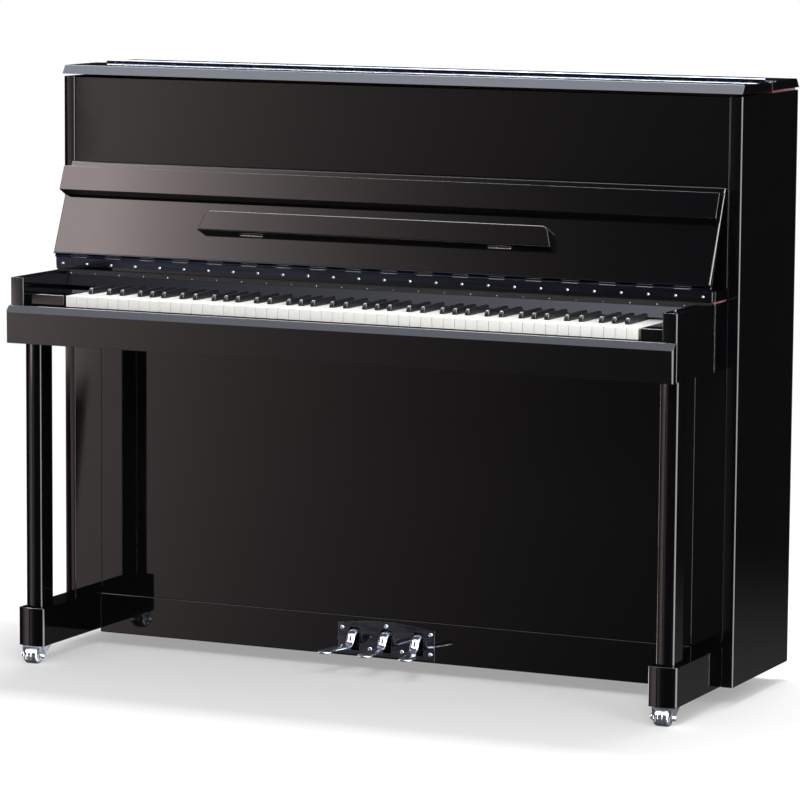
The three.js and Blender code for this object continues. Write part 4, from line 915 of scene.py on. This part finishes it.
# one shape (rows, columns, 3) at every place along x
def alongNotes(shape, places):
    return shape[None] + inRow(places, 0, 0)[:, None, None, :]


# points given in millimetres from another point
def offFrom(point, offsets):
    return np.array(point) + np.array(offsets) * mm


# closed outline of (y, z) points as wide as width, its two outer rows drawn in to a share
def slab(outline, centre, width, share):
    outline, centre = np.asarray(outline, float), np.asarray(centre, float)
    inner = width / 2 - action["faceRoll"]
    rows = [(-width / 2, share), (-inner, 1.0), (inner, 1.0), (width / 2, share)]
    return np.stack([np.column_stack([np.full(len(outline), x), centre + (outline - centre) * s])
                     for x, s in rows])


# hammer head: a drop of felt with y = long * cos t and z = short * sin t * (1 - 0.35 cos t),
# leaning back
hammerY, hammerZ = action["hammerAxis"]
leanCos, leanSin = math.cos(action["hammerLean"]), math.sin(action["hammerLean"])
angle = np.linspace(0, 2 * np.pi, 14, endpoint=False)
headTip = hammerBox[1].y - action["headTipGap"]
headBack = hammerY - action["shank"] * leanSin - action["headBack"] * leanCos
headLong = (headTip - headBack) / 2 / leanCos * 0.98
headMiddle = ((headTip + headBack) / 2,
              hammerZ + (action["shank"] + action["headAbove"][0]) * leanCos + headLong * leanSin
              - action["headAbove"][1])
along = headLong * np.cos(angle)
across = action["headShort"] * np.sin(angle) * (1 - 0.35 * np.cos(angle))
headOutline = np.column_stack([headMiddle[0] + along * leanCos - across * leanSin,
                               headMiddle[1] + along * leanSin + across * leanCos])
head = slab(headOutline, headMiddle, *action["headWide"])
heads = makePiece("hammerHeadsFelted", [(alongNotes(head, noteX), True, True)], hammerFelt, "case")
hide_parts("hammers")
# shank: a round stick from the centre rod up into the head, its rings square to the lean
ring = np.linspace(0, 2 * np.pi, 8, endpoint=False)
ringX, ringY = action["shankRadius"] * np.cos(ring), action["shankRadius"] * np.sin(ring)
stick = np.stack([np.column_stack([ringX, hammerY - b * leanSin + ringY * leanCos,
                                   hammerZ + b * leanCos + ringY * leanSin])
                  for b in (action["shankEnds"][0], action["shank"] + action["shankEnds"][1])])
butt = slab(offFrom(action["hammerAxis"], action["butt"]),
            offFrom(action["hammerAxis"], action["buttMiddle"]), *action["buttWide"])
makePiece("hammerShanksTurned", [(alongNotes(stick, noteX), True, True),
                                 (alongNotes(butt, noteX), True, True)],
          limewoodPlain, "case")
# dampers: a felt block against the strings on a bent wire from its own rod
damperX = noteX[:action["damperCount"]]
foot = (damperBox[1].y, damperBox[1].z - action["blockHeight"])
block = slab(offFrom(foot, action["block"]), offFrom(foot, action["blockMiddle"]), *action["blockWide"])
felts = makePiece("damperFelts", [(alongNotes(block, damperX), True, True)], hammerFelt, "case")
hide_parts("dampers")
rodPlace = offFrom((damperBox[0].y, damperBox[0].z), action["damperRod"])
wirePath = np.concatenate([offFrom(rodPlace, action["wireLow"]), offFrom(foot, action["wireHigh"])])
wireX, wireY = action["wireRadius"] * np.cos(ring), action["wireRadius"] * np.sin(ring)
wire = np.stack([np.column_stack([wireX, y + wireY, np.full(len(ring), z)]) for y, z in wirePath])
reach, thick = noteX[-1] + action["rodPast"], action["rodRadius"]
rods = turned([(0, -reach), (thick, -reach), (thick, reach), (0, reach)],
              [(0, *rodPlace), (0, hammerY, hammerZ)], "x", 12)
makePiece("actionWires", [(alongNotes(wire, damperX), True, True), (rods, True, False)], stringWire,
          "case")
# tuning pins: one for each string, square-headed in the real thing and a ribbed stub here, with its
# coil of wire
stringsPerNote = np.where(note < action["singles"], 1, np.where(note < action["breaks"][0], 2, 3))
pinNote = np.repeat(note, stringsPerNote)
firstPin = np.repeat(np.cumsum(stringsPerNote) - stringsPerNote, stringsPerNote)
pinTurn = np.arange(len(pinNote)) - firstPin
pinZ = action["pinRow"][0] + (pinNote % 4 + pinTurn / 3) * action["pinRow"][1]
slope = np.where(pinNote < action["breaks"][0], *action["lean"])
pinX = noteX[pinNote] + slope * (action["strike"] - pinZ)
makeTurned("tuningPinsBlued", np.array(action["pin"]) * mm,
           inRow(pinX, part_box("iron_frame")[0].y, pinZ), "y", 8, stringWire, "case")
print("action made:", len(noteX), "hammers,", len(damperX), "dampers,", len(pinX), "pins")

# studio: floor, surroundings and lamps
studio = {
    "floorHalf": 6.0,
    "floorPoints": 25,        # along each side
    "floorColour": "#c4c4c4",
    "floorGlow": 0.32,        # added where the floor is seen, so that its open part is white
    "openFrom": (1.6, 3.2),   # metres from the piano over which the floor turns plain white
}
white = (1, 1, 1, 1)
# flat square: x and y are the two parameters times half the floor's side
cols = studio["floorPoints"]
u, v = np.meshgrid(np.linspace(-1, 1, cols), np.linspace(-1, 1, cols))
floorGrid = np.stack([u * studio["floorHalf"], v * studio["floorHalf"], np.zeros_like(u)], -1)
floorMesh = bpy.data.meshes.new("studioFloor")
floorFaces = gridFaces(floorGrid[None], False, False, 0)
floorMesh.from_pydata(floorGrid.reshape(-1, 3).tolist(), [], floorFaces)
floor = bpy.data.objects.new("studioFloor", floorMesh)
bpy.context.scene.collection.objects.link(floor)
floorMaterial = bpy.data.materials.new("paperSweepMatt")
floorMaterial.use_nodes = True
tree = floorMaterial.node_tree
tree.nodes.clear()
place = addNode(tree, "ShaderNodeTexCoord")
distance = addNode(tree, "ShaderNodeVectorMath", {"operation": "LENGTH"}, None,
                   {0: place.outputs["Object"]})
openFloor = addNode(tree, "ShaderNodeMapRange", {"interpolation_type": "SMOOTHSTEP"}, {
    "From Min": studio["openFrom"][0], "From Max": studio["openFrom"][1], "To Min": 0.0, "To Max": 1.0},
    {"Value": distance.outputs["Value"]})
rays = addNode(tree, "ShaderNodeLightPath")
matt = addNode(tree, "ShaderNodeBsdfDiffuse", values={"Color": linear(studio["floorColour"])})
glow = addNode(tree, "ShaderNodeEmission", values={"Color": white, "Strength": studio["floorGlow"]})
lit = addNode(tree, "ShaderNodeAddShader", links={0: matt.outputs[0], 1: glow.outputs[0]})
plainWhite = addNode(tree, "ShaderNodeEmission", values={"Color": white, "Strength": 1.0})
seen = addNode(tree, "ShaderNodeMixShader", links={
    0: openFloor.outputs[0], 1: lit.outputs[0], 2: plainWhite.outputs[0]})
toCamera = addNode(tree, "ShaderNodeMixShader", links={
    0: rays.outputs["Is Camera Ray"], 1: matt.outputs[0], 2: seen.outputs[0]})
# mirrors see through the floor
seenThrough = addNode(tree, "ShaderNodeBsdfTransparent")
toMirror = addNode(tree, "ShaderNodeMixShader", links={
    0: rays.outputs["Is Glossy Ray"], 1: toCamera.outputs[0], 2: seenThrough.outputs[0]})
addNode(tree, "ShaderNodeOutputMaterial", links={"Surface": toMirror.outputs[0]})
floorMesh.materials.append(floorMaterial)

# Surroundings: white to the camera and an even grey to matt surfaces. Mirrors see a dark room with
# white panels: a soft one to the front left that grows towards its own left, a ceiling panel, a rim
# panel high behind, and a wall with a lamp above it to the right.
surroundings = {
    "fill": 0.60,
    "room": 0.012,
    "sideStart": 0.49,            # left at which the front-left panel has its plain strength
    "sideRate": (21.0, 29.0),     # how fast its logarithm grows with left, and how that rises with z
    "sideLevel": (0.50, 2.75),    # logarithm of that strength at z = 0, and how it rises with z
    "sideMost": 6.5,
    "sideColour": "#ffeeec",
    "softStrip": 1.3,
    "ceiling": 2.6,
    "frontRow": 3.2,              # more where the ceiling's front row of lamps hangs
    "frontRightLoss": 0.92,
    "gapGain": 0.30,              # in the gap behind that row
    "gapLoss": 0.88,              # in the gap's left part
    "ceilingColour": "#eaf0ff",
    "rim": 30.0,
    "rightWall": 7.0,
    "rightLamp": 16.0,
    "skirting": 0.13,             # a little light low down on the right
    "slant": (0.7, 0.294),        # the ceiling's back edge: y = 0.7 x + 0.294
}
# Where each panel lies, as (quantity, its value where the panel is dark, its value where it is full).
# x, y and z are the parts of the direction a mirror looks in, left is -x, forward is y / z, and
# slanted is how far y lies behind the ceiling's back edge.
panelSpans = {
    "lowBand": [("z", -0.30, -0.22), ("z", 0.12, 0.03)],
    "steepBand": [("z", 0.45, 0.53), ("z", 0.68, 0.63)],
    "nearLeft": [("left", 0.66, 0.58), ("y", -0.1, -0.3)],
    "farLeft": [("left", 0.56, 0.64), ("y", 0.75, 0.6), ("y", -0.3, -0.1)],
    "slot": [("left", 0.4912, 0.4924), ("z", 0.12, 0.05), ("y", -0.40, -0.62)],
    "tongue": [("z", -0.122, -0.118), ("z", -0.094, -0.098)],
    "softStrip": [("left", 0.515, 0.57), ("left", 0.80, 0.62), ("z", -0.105, -0.122),
                  ("y", -0.1, -0.3)],
    "ceiling": [("slanted", 0.30, -0.06), ("forward", -0.95, -0.80), ("z", 0.55, 0.65)],
    "frontRow": [("forward", -0.40, -0.46)],
    "frontRight": [("x", 0.0, 0.12), ("forward", -0.50, -0.62)],
    "gap": [("forward", -0.43, -0.39), ("forward", -0.22, -0.27)],
    "gapLeft": [("x", -0.30, -0.50)],
    "rim": [("y", 0.0, 0.08), ("y", 0.62, 0.50), ("z", 0.22, 0.34), ("x", -0.18, -0.28),
            ("x", -0.56, -0.50)],
    "rightWall": [("z", -0.30, -0.22), ("z", 0.55, 0.45), ("x", 0.50, 0.60), ("y", 0.86, 0.74)],
    "rightLamp": [("z", 0.12, 0.26), ("z", 0.72, 0.60), ("x", 0.50, 0.60), ("y", -0.34, -0.26),
                  ("y", 0.5, 0.4)],
    "skirting": [("z", -0.16, -0.20), ("x", 0.0, 0.2)],
}
# Two lists of steps, each a name, an operation and its terms, which are numbers or names worked out
# before: what the panels' spans are given in, and the strengths that follow from the panels. "side"
# is the front-left panel and "even" all that is plain white.
directions = [
    ("left", "MULTIPLY", "x", -1.0),
    ("steepness", "MAXIMUM", "z", 0.05),
    ("forward", "DIVIDE", "y", "steepness"),
    ("backEdge", "MULTIPLY_ADD", "x", *surroundings["slant"]),
    ("slanted", "SUBTRACT", "y", "backEdge"),
]
strengths = [
    # e to a power that is a plane in left and z, up to its most
    ("risen", "MAXIMUM", "z", 0.0),
    ("rate", "MULTIPLY_ADD", "risen", surroundings["sideRate"][1], surroundings["sideRate"][0]),
    ("level", "MULTIPLY_ADD", "z", surroundings["sideLevel"][1], surroundings["sideLevel"][0]),
    ("past", "SUBTRACT", "left", surroundings["sideStart"]),
    ("power", "MULTIPLY_ADD", "past", "rate", "level"),
    ("grown", "EXPONENT", "power"),
    ("side", "MINIMUM", "grown", surroundings["sideMost"]),
    # without its slot, which the tongue breaks
    ("offTongue", "SUBTRACT", 1.0, "tongue"),
    ("slot", "MULTIPLY", "slot", "offTongue"),
    ("offSlot", "SUBTRACT", 1.0, "slot"),
    ("side", "MULTIPLY", "side", "offSlot"),
    # within its bands, and with the soft strip past it
    ("bands", "ADD", "lowBand", "steepBand"),
    ("near", "MULTIPLY", "bands", "nearLeft"),
    ("far", "MULTIPLY", "lowBand", "farLeft"),
    ("extent", "MAXIMUM", "near", "far"),
    ("side", "MULTIPLY", "side", "extent"),
    ("side", "MULTIPLY_ADD", "softStrip", surroundings["softStrip"], "side"),
    # ceiling: dark at its front right, brighter in its front row, uneven in the gap behind it
    ("gapLeft", "MULTIPLY", "gap", "gapLeft"),
    ("frontRight", "MULTIPLY_ADD", "frontRight", -surroundings["frontRightLoss"], 1.0),
    ("frontRow", "MULTIPLY_ADD", "frontRow", surroundings["frontRow"], surroundings["ceiling"]),
    ("gapLeft", "MULTIPLY_ADD", "gapLeft", -surroundings["gapLoss"], 1.0),
    ("gap", "MULTIPLY_ADD", "gap", surroundings["gapGain"], 1.0),
]
strengths += [("ceiling", "MULTIPLY", "ceiling", part)
              for part in ("frontRight", "frontRow", "gapLeft", "gap")]
strengths.append(("even", "MULTIPLY_ADD", "skirting", surroundings["skirting"], surroundings["room"]))
strengths += [("even", "MULTIPLY_ADD", name, surroundings[name], "even")
              for name in ("rim", "rightWall", "rightLamp")]
world = bpy.data.worlds.new("studioSurroundings")
bpy.context.scene.world = world
world.use_nodes = True
tree = world.node_tree
tree.nodes.clear()


# adds the nodes for a list of such steps to what is known so far
def workOut(known, steps):
    for name, operation, *terms in steps:
        plain = {i: term for i, term in enumerate(terms) if not isinstance(term, str)}
        linked = {i: known[term] for i, term in enumerate(terms) if isinstance(term, str)}
        node = addNode(tree, "ShaderNodeMath", {"operation": operation}, plain, linked)
        known[name] = node.outputs[0]


place = addNode(tree, "ShaderNodeTexCoord")
split = addNode(tree, "ShaderNodeSeparateXYZ", links={"Vector": place.outputs["Generated"]})
known = dict(zip("xyz", split.outputs))
workOut(known, directions)
# a panel is the product of smooth steps from 0 to 1 over its spans
panels = {}
for name, spans in panelSpans.items():
    for quantity, dark, full in spans:
        edge = addNode(tree, "ShaderNodeMapRange", {"interpolation_type": "SMOOTHSTEP"}, {
            "From Min": dark, "From Max": full, "To Min": 0.0, "To Max": 1.0},
            {"Value": known[quantity]})
        if name in panels:
            edge = addNode(tree, "ShaderNodeMath", {"operation": "MULTIPLY"}, None,
                           {0: panels[name], 1: edge.outputs[0]})
        panels[name] = edge.outputs[0]
known.update(panels)
workOut(known, strengths)
rays = addNode(tree, "ShaderNodeLightPath")
evenPanels = addNode(tree, "ShaderNodeBackground", values={"Color": white},
                     links={"Strength": known["even"]})
warmPanel = addNode(tree, "ShaderNodeBackground", values={"Color": linear(surroundings["sideColour"])},
                    links={"Strength": known["side"]})
coolPanel = addNode(tree, "ShaderNodeBackground", values={
    "Color": linear(surroundings["ceilingColour"])}, links={"Strength": known["ceiling"]})
tinted = addNode(tree, "ShaderNodeAddShader", links={0: coolPanel.outputs[0], 1: warmPanel.outputs[0]})
room = addNode(tree, "ShaderNodeAddShader", links={0: evenPanels.outputs[0], 1: tinted.outputs[0]})
fill = addNode(tree, "ShaderNodeBackground", values={"Color": white, "Strength": surroundings["fill"]})
backdrop = addNode(tree, "ShaderNodeBackground", values={"Color": white, "Strength": 1.0})
aroundPiano = addNode(tree, "ShaderNodeMixShader", links={
    0: rays.outputs["Is Glossy Ray"], 1: fill.outputs[0], 2: room.outputs[0]})
straight = addNode(tree, "ShaderNodeMath", {"operation": "MAXIMUM"}, None, {
    0: rays.outputs["Is Camera Ray"], 1: rays.outputs["Is Transmission Ray"]})
seen = addNode(tree, "ShaderNodeMixShader", links={
    0: straight.outputs[0], 1: aroundPiano.outputs[0], 2: backdrop.outputs[0]})
addNode(tree, "ShaderNodeOutputWorld", links={"Surface": seen.outputs[0]})

# lamps: place, point aimed at, width, height, watts
lamps = {
    "overhead": ((0.0, 0.9, 3.6), (0.0, -0.1, 0.4), 2.4, 0.9, 150),
    "front": ((1.4, -3.2, 2.8), (0.0, -0.1, 0.6), 1.6, 1.2, 75),
    "right": ((3.0, -1.6, 2.2), (0.2, -0.1, 0.6), 0.8, 1.6, 22),
}
for name, (spot, aim, width, height, watts) in lamps.items():
    data = bpy.data.lights.new(name, "AREA")
    data.shape = "RECTANGLE"
    data.size, data.size_y, data.energy = width, height, watts
    lamp = bpy.data.objects.new(name, data)
    lamp.location = spot
    lamp.rotation_euler = (Vector(aim) - Vector(spot)).to_track_quat("-Z", "Y").to_euler()
    bpy.context.scene.collection.objects.link(lamp)
print("studio set")
